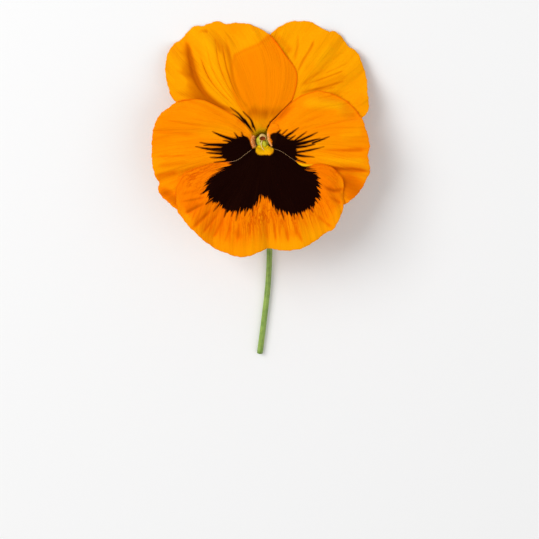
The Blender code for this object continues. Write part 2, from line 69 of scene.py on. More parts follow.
# Relief: fine furrows by layer, ruffles and nicks as cycles and heights, and how a margin lies on
# the petal behind it
FOLD_FADE = 4.0
TONE_RELIEF = 0.6
FURROWS = {-2: 0.55, -1: 0.6, 0: 0.7, 1: 1.1}
FURROW_WAVES = [(2.9, 0.14), (5.3, 0.08), (9.7, 0.05), (16.1, 0.03)]
RUFFLE_WAVES = [(3.1, 0.34), (5.9, 0.2), (10.7, 0.08), (17.3, 0.04)]
NICK_WAVES = [(6.7, 0.07), (12.1, 0.07), (23.3, 0.045)]
NICKS_FROM = 0.93
MARGIN_WIDTH = 6.0
MARGIN_GAP = 0.31
MARGIN_FROM = (5.0, 9.0)

# A dark whisker's width as a share of the one given, how it tapers, and the share of a soft
# stroke's tone that is left at its ends
WHISKER_WIDTH = 0.64
WHISKER_TAPER = 0.75
TONE_AT_ENDS = 0.35

# Mouth of the gutter where the lower petal's blade begins, and the groove below it
MOUTH_HALF_WIDTH = 2.7
MOUTH_Y = -2.48
MOUTH_DEPTH = -1.03
MOUTH_REACH = math.radians(100.0)
LOWER_FUNNEL_SHARE = 0.3
THROAT_GROOVE = 0.7
GROOVE_HALF_WIDTH = 2.4
GROOVE_LENGTH = 5
GROOVE_FROM = 4

# Fine sheets: columns across a petal, rows outward, how rows crowd at the claw, and thickness
COLUMNS = 230
ROWS = 130
ROW_SPACING = 1.35
GUTTER_STEPS = 6
GUTTER_V = (-0.3, -0.01)
BLADE_LEAD = 8
THICK_AT_CLAW = 0.32
THICK_AT_MARGIN = 0.2
THIN_FROM = 0.6
RIM_BULGE = 0.8
FAR_INSIDE = -99.0
NO_INK = -30.0

# Camera: the picture's centre in the bloom's frame, in mm, the width it covers there, and the distance
PICTURE_CENTRE = (2.4, -48.2)
PICTURE_WIDTH = 202.0
CAMERA_DISTANCE = 900.0
SENSOR = 36.0


UPPER_LEFT = {
    "name": "upper_petal_left", "claw": 121, "spread": 38, "layer": -1, "seed": 1.3,
    "side_a": [(-4.4, 0.2), (-7.5, 1.8), (-12, 4.6), (-18, 7.2), (-25, 10), (-30.5, 13), (-33.6, 15.6),
        (-35, 18)],
    "top": [(-35, 18), (-36.6, 24.5), (-36.6, 30), (-35.5, 34), (-33.4, 37), (-31, 38.8), (-28, 42),
        (-25.5, 43.6), (-22.5, 43.7), (-17.6, 46), (-14, 45.1), (-9.5, 45.2), (-5.3, 44.3), (-2, 43),
        (2.2, 40.5), (5, 37.5), (8, 33)],
    "side_b": [(0.9, 4.1), (1.7, 5.2), (3.5, 6.5), (6.4, 8.9), (9.2, 12.2), (10.9, 15.6), (12.1, 19),
        (12.8, 23), (12.6, 26), (11.2, 29), (8, 33)],
}
UPPER_RIGHT = {
    "name": "upper_petal_right", "claw": 54, "layer": -2, "seed": 4.1,
    "side_a": [(0.25, 4.2), (-0.1, 5.5), (-2.2, 7.7), (-6.2, 10.5), (-9.5, 14.5), (-11.4, 19.5),
        (-11.8, 25), (-11.6, 29), (-10.8, 32.4)],
    "top": [(-10.8, 32.4), (-6.5, 34.7), (-1.5, 36.8), (2.2, 40.1), (7, 44.2), (11.5, 45.9), (15.8, 46.1),
        (19.1, 45.2), (21.6, 43), (24.8, 41.5), (26.6, 41.6), (29.6, 39.6), (31.8, 36.3), (34.6, 34.5),
        (36.4, 32), (37.5, 28.8), (38.9, 24.3), (39.3, 18), (39.8, 12.5), (38.4, 9.9)],
    "side_b": [(4.6, -0.2), (8, 0.6), (13, 2.2), (19, 4), (26, 5.8), (33, 7.4), (36.4, 8.4), (38.4, 9.9)],
}
LATERAL_RIGHT = {
    "name": "lateral_petal_right", "claw": 342, "layer": 0, "seed": 7.7,
    "side_a": [(3.9, 1.3), (3.9, 2.4), (3, 3.8), (2.4, 5.3), (3.1, 7), (5.1, 8.9), (8.8, 12.8), (14.2, 17),
        (20.6, 19.1)],
    "top": [(20.6, 19.1), (26.3, 17.7), (32.3, 14.4), (36.6, 9.3), (38, 5.8), (39.7, 0.3), (39.9, -2.5),
        (39.3, -5.2), (39.6, -8), (40.1, -11.2), (38.7, -14.5), (36.6, -18.4), (33.4, -21.8), (30, -24),
        (26, -25), (22, -24.5)],
    "side_b": [(2.5, -4.2), (3.9, -6.4), (6, -9.6), (9.4, -13.4), (14, -17.8), (18, -22), (22, -24.5)],
}
LATERAL_LEFT = {
    "name": "lateral_petal_left", "claw": 198, "layer": 0, "seed": 2.9,
    "side_a": [(-2.5, -4.2), (-3.9, -6.4), (-6, -9.6), (-9.2, -13.6), (-14.5, -18.6), (-20, -23.5),
        (-25, -26.5)],
    "top": [(-25, -26.5), (-29, -27), (-32.2, -25.8), (-36, -22.6), (-38.3, -20.4), (-39.4, -18.2),
        (-39.1, -15.5), (-40.3, -13.5), (-41.1, -10.8), (-41.7, -7.2), (-41.8, -3.3), (-41.7, 0.7),
        (-41.1, 4.6), (-39.9, 7.8), (-38.3, 10.3), (-35.2, 12.7), (-32.2, 14.8), (-29.2, 15.5)],
    "side_b": [(-3.8, 1.5), (-4.7, 3.2), (-7.9, 7), (-10.7, 9.4), (-14.7, 11.7), (-19, 13.9), (-22.2, 15.3),
        (-25.7, 15.8), (-29.2, 15.5)],
}
LOWER = {
    "name": "lower_petal", "claw": 270, "layer": 1, "seed": 5.2,
    "side_a": [(3.9, -3), (6.6, -3.9), (10.5, -6.5), (13.7, -8.6), (16.5, -9.2), (20, -8.8), (23.1, -9),
        (25.9, -10), (28.3, -12.3), (29.8, -14.3), (30.4, -16.7)],
    "top": [(30.4, -16.7), (29.9, -19.5), (30.3, -23.6), (28.9, -28.5), (27.3, -31.7), (25.7, -33.5),
        (23.6, -34.4), (20.4, -36.8), (17.7, -38.7), (14, -40.4), (10.6, -41), (7.5, -41), (4.4, -40.7),
        (2, -40.1), (-1.2, -41.6), (-4.9, -43), (-7.9, -43.6), (-10.7, -43.1), (-14.2, -41.9), (-17.4, -40.6),
        (-21.4, -38), (-24.5, -35.2), (-27.3, -32.5), (-30, -29.3), (-32.2, -25.8), (-32.8, -20.6)],
    "side_b": [(-3.9, -3), (-6.6, -5), (-10.3, -7.5), (-16.6, -8.2), (-22.2, -9.4), (-26.5, -10.8),
        (-29.7, -12.5), (-31, -14.7), (-32.6, -17.5), (-32.8, -20.6)],
}
PETALS = [UPPER_RIGHT, UPPER_LEFT, LATERAL_RIGHT, LATERAL_LEFT, LOWER]

# Folds out from the throat: place across (-1 to 1), half width, height in mm, where it begins
FOLDS = {
    "upper_petal_left": [(-0.35, 0.13, -1.9, 0.05), (-0.08, 0.12, 1.6, 0.1), (0.2, 0.09, -1.2, 0.3)],
    "upper_petal_right": [(-0.25, 0.12, -1, 0.3), (0.05, 0.13, 1.3, 0.25), (0.3, 0.1, -1.2, 0.3),
        (0.62, 0.11, -1.7, 0.15), (0.8, 0.09, 1.2, 0.3)],
    "lateral_petal_right": [(-0.2, 0.2, 1.2, 0.3), (0.19, 0.1, 1.7, 0.35), (0.36, 0.09, -1.7, 0.3)],
    "lateral_petal_left": [(-0.32, 0.1, -1.6, 0.35), (-0.12, 0.11, 1.3, 0.3), (0.2, 0.14, -1, 0.3),
        (0.48, 0.14, 1.2, 0.3)],
    "lower_petal": [(-0.72, 0.08, 1.5, 0.4), (-0.35, 0.09, 1.1, 0.45), (-0.08, 0.08, -1.1, 0.5),
        (0.16, 0.1, 1.3, 0.45), (0.42, 0.08, -1.3, 0.4), (0.62, 0.09, 1.3, 0.35)],
}

# Dark markings in the bloom's frame, in mm. Each patch is an outline. Each whisker is a root, a bend,
# a tip and the half width at its root. Feather is how far the strokes stray past the outline.
MARKS = {
    "lower_petal": {
        "feather": 2.5,
        "patch": [(-2.8, -2.3), (-4.3, -2), (-10.4, -6.4), (-13.6, -9.6), (-17.6, -12), (-21.4, -15.8),
            (-22, -18.6), (-20.1, -21.4), (-17.4, -23.6), (-14.6, -25.6), (-11.8, -26.6), (-8.6, -26.4),
            (-5.2, -25.9), (-2.4, -24.4), (-1, -22.6), (0, -20.9), (1.3, -21.5), (3.4, -24), (6.2, -26.2),
            (9.2, -27.3), (12.8, -27.5), (15.6, -26.8), (18, -25), (20.1, -22.9), (21.3, -20), (21.4, -16.4),
            (20.8, -13.2), (19.2, -11.2), (16.4, -9.9), (14.2, -7.4), (10.5, -4.6), (6.2, -2), (4.3, -1.4),
            (4, -3.6), (3.6, -4.8), (2.4, -5.5), (0.7, -5.3), (-0.8, -5.45), (-2.1, -5.2), (-2.75, -4.3)],
        "whiskers": [
            ((-12, -22), (-13.6, -25.5), (-14.6, -28.6), 0.8),
            ((-10, -23), (-11.2, -26.4), (-11.9, -28.4), 0.5), ((-8, -22), (-9.2, -26), (-10.2, -30), 0.8),
            ((-6, -22), (-6.6, -25.6), (-6.9, -28), 0.5), ((-3.5, -20), (-3.9, -24), (-3.8, -28), 0.8),
            ((3.6, -21), (4.6, -25), (5.4, -27.4), 0.5), ((5.5, -22), (6.8, -26), (7.9, -29.6), 0.9),
            ((9, -22), (10.8, -26.5), (11.9, -29.4), 0.7), ((12, -22), (13.8, -26.5), (14.9, -29.2), 0.7),
            ((15, -21), (17.6, -25), (18.8, -26.8), 0.5), ((-15, -19), (-19, -22), (-21.4, -23.8), 0.8),
            ((-14, -21), (-17, -24.4), (-18.6, -26.4), 0.6),
            ((-17, -16.5), (-21, -18.6), (-23.6, -20.1), 0.8)]},
    "lateral_petal_left": {
        "feather": 1.3,
        "patch": [(-5.2, 0.4), (-5.9, 1.4), (-7.3, 2), (-8.9, 1.6), (-10.4, 1.2), (-12, 0.5), (-13.6, -0.7),
            (-15.4, -2.2), (-15.8, -3.6), (-16.4, -4.9), (-14.6, -6.7), (-12.2, -9.4), (-9, -8.8), (-4, -4.6),
            (-4, -3), (-4.8, -1.2)],
        "whiskers": [
            ((-9, -0.2), (-14.6, 1.5), (-19, 3.5), 1.05), ((-7.2, 0.8), (-7.6, 2), (-8.2, 3.2), 0.6),
            ((-9.2, 0.4), (-9.9, 1.9), (-10.8, 3), 0.65), ((-11.6, -0.8), (-13.4, -0.1), (-15, 0.1), 0.75),
            ((-12, -1.9), (-17.5, -1.5), (-22.2, -1.7), 1.35),
            ((-17, -1.3), (-20.5, -1.2), (-23.6, -0.6), 0.5), ((-12, -3), (-19.5, -3.1), (-25.2, -2.2), 1),
            ((-12, -4.3), (-17, -4.7), (-21.2, -4.4), 0.95),
            ((-11.5, -5.6), (-15.6, -6.2), (-19.8, -6.2), 0.85),
            ((-10.5, -7), (-14, -7.7), (-18.3, -8), 0.95), ((-13, -3.6), (-17, -3.8), (-20.2, -3.4), 0.6)]},
    "lateral_petal_right": {
        "feather": 1.3,
        "patch": [(2.8, 2.3), (3.8, 2.9), (5.6, 3.1), (7, 2.4), (8.6, 1.2), (10.4, 0.7), (12, 0.1),
            (12.4, -1.6), (12.6, -3), (13.4, -4.4), (12.4, -6.6), (12.2, -8.8), (8.6, -7.6), (3.6, -3.4),
            (3.3, -1.5), (3.4, 0), (2.7, 1.3)],
        "whiskers": [
            ((4.4, 1.8), (5.5, 3.1), (6.7, 4.2), 0.9), ((6, 1.6), (7.6, 2.8), (9.1, 4.2), 0.42),
            ((6.8, 0.2), (10.2, 2.7), (13.3, 4.9), 0.8), ((9, -0.1), (10.6, 1), (12.1, 2.1), 0.6),
            ((10.4, -1), (13.6, 1.4), (16.3, 3.5), 0.55), ((9.6, -1.3), (14.9, 0.6), (20.4, 3.2), 0.95),
            ((9.6, -1.9), (15.5, -0.7), (21.4, 0.9), 1.25), ((18.6, -0.8), (21.6, 0.3), (24.8, 1.6), 0.6),
            ((10.6, -2.5), (15.4, -2.1), (19.4, -1.3), 0.95),
            ((10.6, -4.6), (17, -3.6), (22.8, -2.2), 0.75), ((9.6, -4.7), (14.6, -5.6), (19.2, -6.1), 0.95),
            ((9.4, -6), (12.6, -7.1), (15.9, -8.2), 0.65)]},
    "upper_petal_left": {
        "feather": 0.4,
        "patch": [(-3.7, 3.3), (-4.8, 4.4), (-6.6, 6.2), (-8.7, 8.7), (-9, 9.5), (-7.9, 9), (-6.5, 7.9),
            (-5, 5.7)],
        "whiskers": [
            ((-7.4, 8), (-9.5, 10.4), (-12.2, 12.7), 0.65), ((-6.8, 6.8), (-9.2, 8.8), (-11.4, 10.2), 0.5),
            ((-3.7, 5.5), (-4.7, 8.1), (-7.4, 11), 0.6), ((-3.7, 5.8), (-3.2, 4.8), (-2.9, 3.9), 0.5),
            ((1.9, 5.3), (3.4, 7.5), (6.8, 10.4), 0.6), ((2.6, 7), (7, 11.3), (10.6, 15), 0.24)]},
    "upper_petal_right": {
        "feather": 0.4,
        "patch": [],
        "whiskers": [
            ((6, 9), (9, 13.2), (11.2, 16.4), 0.35)]},
}

# Soft strokes of painted shade and painted highlight along folds and shaded parts, with some fine dark vein
# lines: points, half width, amount (below 0 is deeper)
TONES = {
    "upper_petal_left": [
        ([(-6.6, 9.4), (-11.5, 11.4), (-17.3, 13.6), (-22.3, 18.4), (-26.2, 26.3), (-28.2, 35.4),
         (-29, 38.5)], 1.1, -0.7),
        ([(-13, 11), (-19, 13.2), (-24.2, 17.8), (-27.2, 25), (-28.6, 33)], 3, -0.62),
        ([(-24.6, 41.4), (-20.4, 41.6)], 1.2, -0.5),
        ([(-9.6, 11.6), (-16, 20.5), (-20, 32), (-21.4, 41.5)], 2.6, 0.75),
        ([(-6.5, 13.4), (-9, 17), (-11.3, 24.4), (-12.4, 31.4), (-14.2, 39)], 0.8, -0.45),
        ([(-11, 19), (-13.2, 26), (-14.4, 33), (-16.6, 40)], 1.4, -0.22),
        ([(-9, 12.6), (-14.6, 17), (-20.4, 24), (-24.4, 34)], 0.34, -0.8),
        ([(-8.6, 13), (-14, 18.6), (-18.9, 27), (-21.6, 37)], 0.3, -0.65),
        ([(-8, 13), (-12.6, 19.5), (-16.2, 28), (-18.2, 38)], 0.3, -0.75),
        ([(-7.4, 12.6), (-11, 19.5), (-13.8, 28), (-15.4, 36)], 0.28, -0.5),
        ([(-20, 15.2), (-25, 21.6), (-27.4, 30)], 0.3, -0.35),
        ([(-24.4, 23.6), (-29, 25.2), (-34, 27)], 0.9, -0.16),
        ([(-20, 14), (-27, 17), (-35, 18)], 1.3, -0.22), ([(-26.6, 31), (-32, 34.6)], 0.9, -0.14),
        ([(-28, 22), (-35, 23.2)], 1.4, 0.3), ([(-1.5, 43), (-8, 35)], 2.6, 0.35),
        ([(-6, 12.6), (-2.4, 10.6), (2.8, 10.2)], 2.8, -0.75), ([(2, 9.8), (7.6, 12.4)], 2.2, -0.4),
        ([(-19.4, 43), (-14.5, 44.4)], 1.3, 0.3), ([(-21.6, 42), (-17.6, 37.6), (-16, 32)], 1, -0.4)],
    "upper_petal_right": [
        ([(12.4, 24.8), (14.9, 30), (17.8, 34.6), (19.6, 39)], 0.75, -0.6),
        ([(13.2, 22.6), (18.6, 29), (22.6, 36)], 0.9, -0.25),
        ([(11.6, 28.4), (13, 36), (13.4, 42)], 0.7, -0.35),
        ([(17.4, 20.8), (25, 22.4), (32.6, 25.4)], 1.9, -0.3),
        ([(15, 18.6), (23, 20.4), (30, 22.6)], 0.45, -0.4),
        ([(16, 21.4), (25, 24.6), (31, 27)], 0.4, -0.35), ([(12.6, 19.6), (18, 24), (25, 28)], 0.9, -0.35),
        ([(13, 17.8), (22, 19.4), (28, 20.2)], 0.8, -0.35), ([(24, 19), (36, 19.6)], 1.1, 0.3),
        ([(17, 28), (27, 36)], 3.4, 0.6), ([(14, 40), (20, 41)], 2.6, 0.3),
        ([(34, 13), (38.4, 18)], 2.2, -0.2), ([(3.4, 41), (7.6, 37.4), (11, 32.5)], 1.9, -0.3),
        ([(22, 25), (33, 30)], 0.4, -0.3), ([(22, 27.6), (31.6, 34.6)], 0.4, -0.25)],
    "lateral_petal_right": [
        ([(21, -9.4), (28, -10.4), (34, -10.6), (40, -11.4)], 0.8, -0.7),
        ([(28, -13.6), (33.4, -17.4), (36, -21)], 4.6, -0.6),
        ([(20, -7.2), (30, -7.6), (39.6, -7.6)], 1.5, 0.7), ([(27, 1.6), (38, 3.4)], 2.4, 0.45),
        ([(19, -3.6), (30, -3.6), (39, -3.2)], 0.8, -0.4), ([(17.5, -5.6), (30, -6)], 0.5, -0.35),
        ([(4.4, 6.8), (8.8, 11.4), (14, 15.4)], 1.7, -0.4), ([(12, 5.6), (22, 9.6), (33, 13)], 1, -0.25),
        ([(14, 3.4), (26, 6.4), (37, 8.8)], 0.5, -0.3),
        ([(12.5, 14.2), (19.5, 14.2), (26, 13.6), (32, 11)], 2.8, 0.8),
        ([(31, -3.2), (38, -3.6)], 1.6, -0.1)],
    "lateral_petal_left": [
        ([(-39.4, -17.2), (-34, -21.4), (-27, -25.4)], 2.2, -0.6),
        ([(-31, -11.4), (-41, -13.4)], 1.3, -0.4), ([(-26, -8.2), (-40.5, -9.4)], 1.4, -0.28),
        ([(-18, -8.5), (-31, -16)], 1.2, -0.45), ([(-24, 2.4), (-41.4, 3.6)], 1.2, -0.3),
        ([(-22, 9), (-35, 11.6)], 2.2, 0.3), ([(-26, -2.6), (-41, -2.6)], 1.6, 0.3),
        ([(-5.4, 5.6), (-10, 8.6)], 1.3, -0.35), ([(-27, -5.4), (-41, -5.8)], 0.5, -0.3),
        ([(-20, 5), (-38, 8)], 0.5, -0.25), ([(-10, 6.6), (-22, 13), (-30, 15)], 1.2, -0.3)],
    "lower_petal": [
        ([(-21, -23), (-30, -27.6)], 0.8, -0.6), ([(-19, -25.6), (-26.4, -32.6)], 0.8, -0.7),
        ([(-20.6, -21), (-30.6, -22.8)], 0.5, -0.5), ([(-16.6, -26.8), (-22.8, -34.8)], 0.6, -0.55),
        ([(-22.6, -18.2), (-31, -20)], 0.8, -0.4), ([(-14.4, -28.2), (-19, -37)], 0.7, -0.5),
        ([(-11.6, -29.6), (-14.4, -38.6)], 0.6, -0.4), ([(-8.6, -29.6), (-9.6, -37.6)], 0.7, -0.45),
        ([(-11.4, -33.4), (-7, -36.4)], 1.6, -0.28), ([(-4.4, -29), (-5, -36)], 0.6, -0.4),
        ([(-3.6, -38.4), (-10.6, -39.8)], 1.8, -0.12), ([(0.2, -25), (1.8, -38)], 0.5, -0.35),
        ([(3.4, -26), (5, -38)], 0.6, -0.45), ([(7.6, -29), (9.6, -38.6)], 0.5, -0.35),
        ([(11.2, -29.5), (15, -38.6)], 0.7, -0.4), ([(19.6, -27.4), (26, -32.6)], 0.8, -0.4),
        ([(22.4, -17), (26.4, -18.6), (30, -18)], 0.8, -0.8), ([(24.4, -20.8), (29.6, -23.6)], 0.8, -0.5),
        ([(-24, -13), (-31.6, -15.8)], 1.2, -0.35), ([(-1, -24.5), (-1.4, -36)], 1, 0.35),
        ([(14, -31), (20.4, -37)], 2, 0.35), ([(-14, -37.6), (-20, -37)], 1.6, 0.3),
        ([(-26, -31), (-31, -25)], 1, 0.4), ([(24, -30), (28.4, -26.5)], 1.2, 0.35),
        ([(22.4, -13.4), (28.4, -14.6)], 1.4, 0.3), ([(-23, -24.8), (-28, -27.6)], 0.4, 0.3),
        ([(-24, -22), (-29.4, -27)], 2.6, -0.45), ([(8, -34), (13, -35.4)], 2.2, -0.25)],
}

# Spur and gutter: centre y, z, half width, half depth, reach of the section in degrees
GUTTER = [
    (-4.6, -12.4, 0.75, 0.75, 180), (-4.6, -11.7, 1.2, 1.2, 180), (-4.5, -10.4, 1.37, 1.37, 180),
    (-4.42, -9.0, 1.38, 1.38, 180), (-4.4, -7.6, 1.38, 1.36, 180), (-4.0, -6.0, 1.45, 1.15, 140),
    (-3.35, -4.6, 1.6, 0.9, 115), (-2.8, -3.4, 1.75, 0.65, 95),
]
SPUR_END = (0, -4.6, -12.7)

# Sepals: direction in degrees; radius, z and half width from the auricle to the tip
SEPALS = {"sepal_top": 90, "sepal_right": 30, "sepal_left": 150,
          "sepal_lower_left": 220, "sepal_lower_right": 320}
SEPAL_PATH = [(5.3, -12.4, 0.5), (5.0, -11.6, 1.4), (4.5, -10.4, 1.6), (4.1, -9.2, 1.35), (4.05, -8.4, 1.3),
              (4.7, -7.5, 1.5), (6.4, -6.6, 2.1), (9.0, -5.9, 2.6), (12.0, -5.6, 2.3), (15.0, -5.6, 1.3),
              (17.6, -5.9, 0.3)]
SEPAL_ROWS = 90
SEPAL_COLUMNS = 31
SEPAL_CUP = 0.12
SEPAL_NERVE = 0.05
SEPAL_TWIST = 0.12
SEPAL_UNEVEN = [(9, 1, 0.05), (31, 5, 0.03)]
SEPAL_THICKNESS = 0.42

# Stalk: x, y, z and radius in the resting place, from the neck behind the receptacle to the cut; its
# ribs as count, phase and height; the cut's inner rings as width and how far they are sunk
STALK_PATH = [(0, -1.9, 6.6, 0.88), (0, -1.6, 5.1, 0.96), (0.1, -2.7, 3.4, 1.05), (0.2, -5.0, 2.3, 1.1),
              (0.4, -9.0, 2.0, 1.1), (0.8, -16, 1.9, 1.1), (1.8, -30, 1.9, 1.1), (2.4, -45, 1.8, 1.1),
              (1.8, -60, 1.6, 1.12), (0.2, -75, 1.35, 1.15), (-1.4, -88, 1.15, 1.17)]
STALK_COLUMNS = 40
STALK_ROUND = 0.94
STALK_SWELL = 0.01
STALK_RIBS = [(4, 0.0, 0.04), (9, 1.0, 0.015)]
CUT_RINGS = [(0.9, 0.0), (0.3, 0.12)]
RECEPTACLE = [(-7.85, 2.08), (-8.05, 2.38), (-8.47, 2.38), (-8.52, 3.1), (-8.6, 3.25), (-9.0, 3.25),
              (-9.1, 3.1), (-9.35, 2.4), (-9.6, 1.9), (-10.2, 1.1)]
SPUR_NOTCH = (-4.45, 2.03)
NOTCH_END = -9.5

# Bracteoles: the point between them, half their spacing, from foot to tip, and across
BRACTEOLE_PLACE = (0.5, -13.0, 2.0)
BRACTEOLE_SPREAD = (0.9, -1.5, 0)
BRACTEOLE_LEAN = (1.9, 3.8, 1.0)
BRACTEOLE_ACROSS = (0.85, -0.42, 0.2)
BRACTEOLE_WIDTH = 0.62
BRACTEOLE_FOOT = 0.14
BRACTEOLE_BOW = 0.35
BRACTEOLE_CUP = 0.18
BRACTEOLE_ROWS = 14
BRACTEOLE_COLUMNS = 9
BRACTEOLE_THICKNESS = 0.16

# Ovary and style, the lobe below the stigma and a pale thread: x, y, z and radius
STYLE_PATH = [(0, 0, -7.5, 0.6), (0, 0, -7.0, 1.0), (0, 0, -6.0, 1.3), (0, 0, -5.0, 1.32),
              (0, -0.1, -4.2, 1.2), (-0.05, -0.15, -3.5, 1.0), (-0.1, -0.05, -2.9, 0.72),
              (-0.15, 0.4, -2.2, 0.5), (-0.2, 1.0, -1.4, 0.55)]
LOBE_PATH = [(0.3, 0.3, -1.7, 0.3), (0.38, -0.1, -1.75, 0.6), (0.5, -0.8, -1.8, 0.82),
             (0.6, -1.5, -1.85, 0.74), (0.68, -2.1, -1.95, 0.42), (0.7, -2.4, -2.0, 0.12)]
THREAD_PATH = [(-0.3, 0.4, -1.2, 0.1), (-0.5, -0.2, -1.3, 0.2), (-0.72, -0.9, -1.5, 0.17),
               (-0.66, -1.9, -1.6, 0.15), (-0.2, -2.7, -1.5, 0.16), (0.2, -3.3, -1.0, 0.13),
               (0.36, -3.8, -0.55, 0.06)]
ROD_COLUMNS = 32

# Stigma: centre, axis, profile as radius and height along the axis, and how far it is from round
STIGMA_CENTRE = (-0.25, 1.5, -0.15)
STIGMA_AXIS = (0.1, -1.0, 1.0)
STIGMA_PROFILE = [(0.06, -0.1), (0.6, 0.0), (0.9, 0.3), (0.98, 0.6), (1.04, 0.78), (1.14, 0.78), (1.24, 0.45),
                  (1.26, 0.0), (1.12, -0.5), (0.82, -0.9), (0.45, -1.12), (0.08, -1.2)]
STIGMA_COLUMNS = 48
STIGMA_LOBES = [(2, 0.0, 0.05), (3, 0.7, 0.04), (7, 0.0, 0.02)]

# Sleeve of anthers: radius at the back, at the shoulder and at the tips, and where they lie
SLEEVE_RADII = (1.78, 2.45, 1.05)
SLEEVE_SHOULDER = 0.62
SLEEVE_SHOULDER_DEPTH = -3.4
SLEEVE_FRONT = -2.3
SLEEVE_LEAN = 0.35
SLEEVE_BACK = -7.5
SLEEVE_ROWS = 24
SLEEVE_COLUMNS = 121
SLEEVE_THICKNESS = 0.36
ANTHER_COUNT = 5
ANTHER_BULGE = 0.12

# Fold over the throat: its free edge (x, y, z), and where it leaves the petal (x, y)
LIP_EDGE = [(3.1, 6.2, -1.2), (2.1, 5.4, -0.95), (1.35, 4.2, -0.62), (0.98, 2.5, -0.45), (1.2, 0.8, -0.55),
            (1.85, -0.65, -0.95), (2.8, -1.75, -1.5), (3.6, -2.4, -2.0)]
LIP_FOOT = [(3.8, 6.4), (4.9, 6.2), (5.8, 5.2), (6.0, 3.6), (5.8, 1.6), (5.4, -0.2), (4.9, -1.5), (4.3, -2.2)]
LIP_ROWS = 44
LIP_COLUMNS = 110
LIP_THICKNESS = 0.3
LIP_SINK = 0.5
LIP_RISE = 0.2
LIP_RIPPLE = 0.05
LIP_CURL_START = 0.8
LIP_CURL_BACK = 0.12
LIP_CURL_DROP = 0.6

# Beards: hairs on the fold stand from a share of its columns and rows to a few short of the end;
# hairs on the left claw stand between two angles and two distances from the throat
LIP_HAIRS = 220
LIP_HAIRS_AT = ((0.42, 8), (0.74, 3))
LIP_SEED = 5
LIP_HAIR_LENGTH = 0.5
LEFT_HAIRS = 420
LEFT_SEED = 3
LEFT_HAIR_ANGLES = (150, 216)
LEFT_HAIR_PLACES = (3.3, 4.7)
LEFT_HAIR_LENGTH = 0.9
HAIR_RADIUS = (0.07, 0.11)
HAIR_LENGTHS = (0.6, 1.0)
HAIR_SCATTER = 0.16
HAIR_LEAN = (0.3, 0.9)
HAIR_SHAPE = [(-0.15, 1.1), (0.0, 1.0), (0.5, 0.8), (0.85, 1.0), (1.0, 0.35)]
HAIR_COLUMNS = 6

# Roll on the lower petal's margin: x, y and radius, and how far it stands over the side petal
CURL_PATH = [(12.6, -7.9, 0.05), (13.5, -8.5, 0.3), (14.8, -9.0, 0.5), (16.2, -9.2, 0.46), (17.6, -9.1, 0.26),
             (18.8, -8.9, 0.06)]
CURL_LIFT = 0.55
CURL_COLUMNS = 20

# Floor and lights: name, place, width and power
FLOOR_HALF = 3.0
FLOOR_COLOUR = (0.93, 0.93, 0.93, 1.0)
LIGHT_TARGET = (0, 0, 0.015)
LIGHTS = [("key", (-0.95, 0.6, 1.15), 1.0, 16.5), ("fill", (0.9, -0.2, 1.2), 1.2, 3.4)]
WORLD_STRENGTH = 0.5

# Colours as a display shows them, 0 to 255
GOLDEN = (254, 158, 2)
SIDE_ORANGE = (254, 141, 1)
LOW_ORANGE = (248, 129, 2)
LIGHT = (255, 174, 4)
DEEP = (250, 118, 0)
SHADE = (186, 84, 0)
UPPER_VEIN = (196, 112, 0)
VEIN = (226, 92, 0)
# Painted shade for the lines where one petal lies over another
OVERLAP_SHADE_LINE = (240, 92, 0)
BLOTCH = (12, 0, 2)
BLOTCH_EDGE = (104, 22, 2)
THROAT_ORANGE = (236, 150, 4)
THROAT_YELLOW = (252, 184, 8)
# The throat's green, painted brighter than it is as painted light in the deep, shaded funnel
LIT_THROAT_GREEN = (240, 206, 16)
THROAT_WARM = (246, 160, 4)
SALMON = (252, 172, 76)
GLOSS_TINT = (255, 150, 50)
# Painted shade: the orange that the tone strokes deepen toward before the brown shade, on the side and lower
# petals and on the upper ones
TONE_ORANGE = (238, 112, 0)
UPPER_TONE = (234, 128, 0)
# Painted shade for the lower petal's wrinkle creases
WRINKLE_SHADE = (212, 76, 0)

# Front of the petals by layer: plain colour, shares of the details and of painted shade, and the rim's two
# colours
# Three shares paint shade: deeper colour where a petal lies over another, a darker line where the petal
# behind it ends, and a darker line along a margin over another petal
PETAL_LOOK = {
    -2: {"plain": GOLDEN, "streak": 0.12, "main": 0.14, "small": 0.09, "covered": 0.0, "edge": 0.0,
         "hem_shade": 0.5, "rim": ((252, 160, 6), (232, 142, 4))},
    -1: {"plain": GOLDEN, "streak": 0.14, "main": 0.28, "small": 0.16, "covered": 0.6, "edge": 0.35,
         "hem_shade": 0.65, "rim": ((252, 160, 6), (232, 142, 4))},
    0: {"plain": SIDE_ORANGE, "streak": 0.15, "main": 0.16, "small": 0.1, "covered": 0.0, "edge": 0.0,
        "hem_shade": 0.55, "rim": ((252, 130, 2), (242, 112, 0))},
    1: {"plain": LOW_ORANGE, "streak": 0.26, "main": 0.5, "small": 0.34, "covered": 0.35, "edge": 0.15,
        "hem_shade": 0.3, "rim": ((250, 138, 4), (240, 118, 2))},
}
SOFT_TISSUE = {"Specular_Tint": GLOSS_TINT, "Subsurface_Weight": 0.06, "Subsurface_Scale": 0.0008}
ORANGE_SCATTER = (1.0, 0.4, 0.05)


# Shapes

def smooth_step(low, high, value):
    t = np.clip((value - low) / (high - low), 0.0, 1.0)
    return t * t * (3.0 - 2.0 * t)


def curve_through(points, pieces=10):
    """A Catmull-Rom curve through the points, as a dense list of points."""
    knots = np.array(points, dtype=float)
    ends = np.concatenate([2 * knots[:1] - knots[1:2], knots, 2 * knots[-1:] - knots[-2:-1]])
    dense = []
    for i in range(1, len(ends) - 2):
        before, start, stop, after = ends[i - 1:i + 3]
        for t in np.arange(pieces) / pieces:
            dense.append(0.5 * (2 * start + (stop - before) * t
                                + (2 * before - 5 * start + 4 * stop - after) * t * t
                                + (3 * start - before - 3 * stop + after) * t ** 3))
    dense.append(knots[-1])
    return np.array(dense)


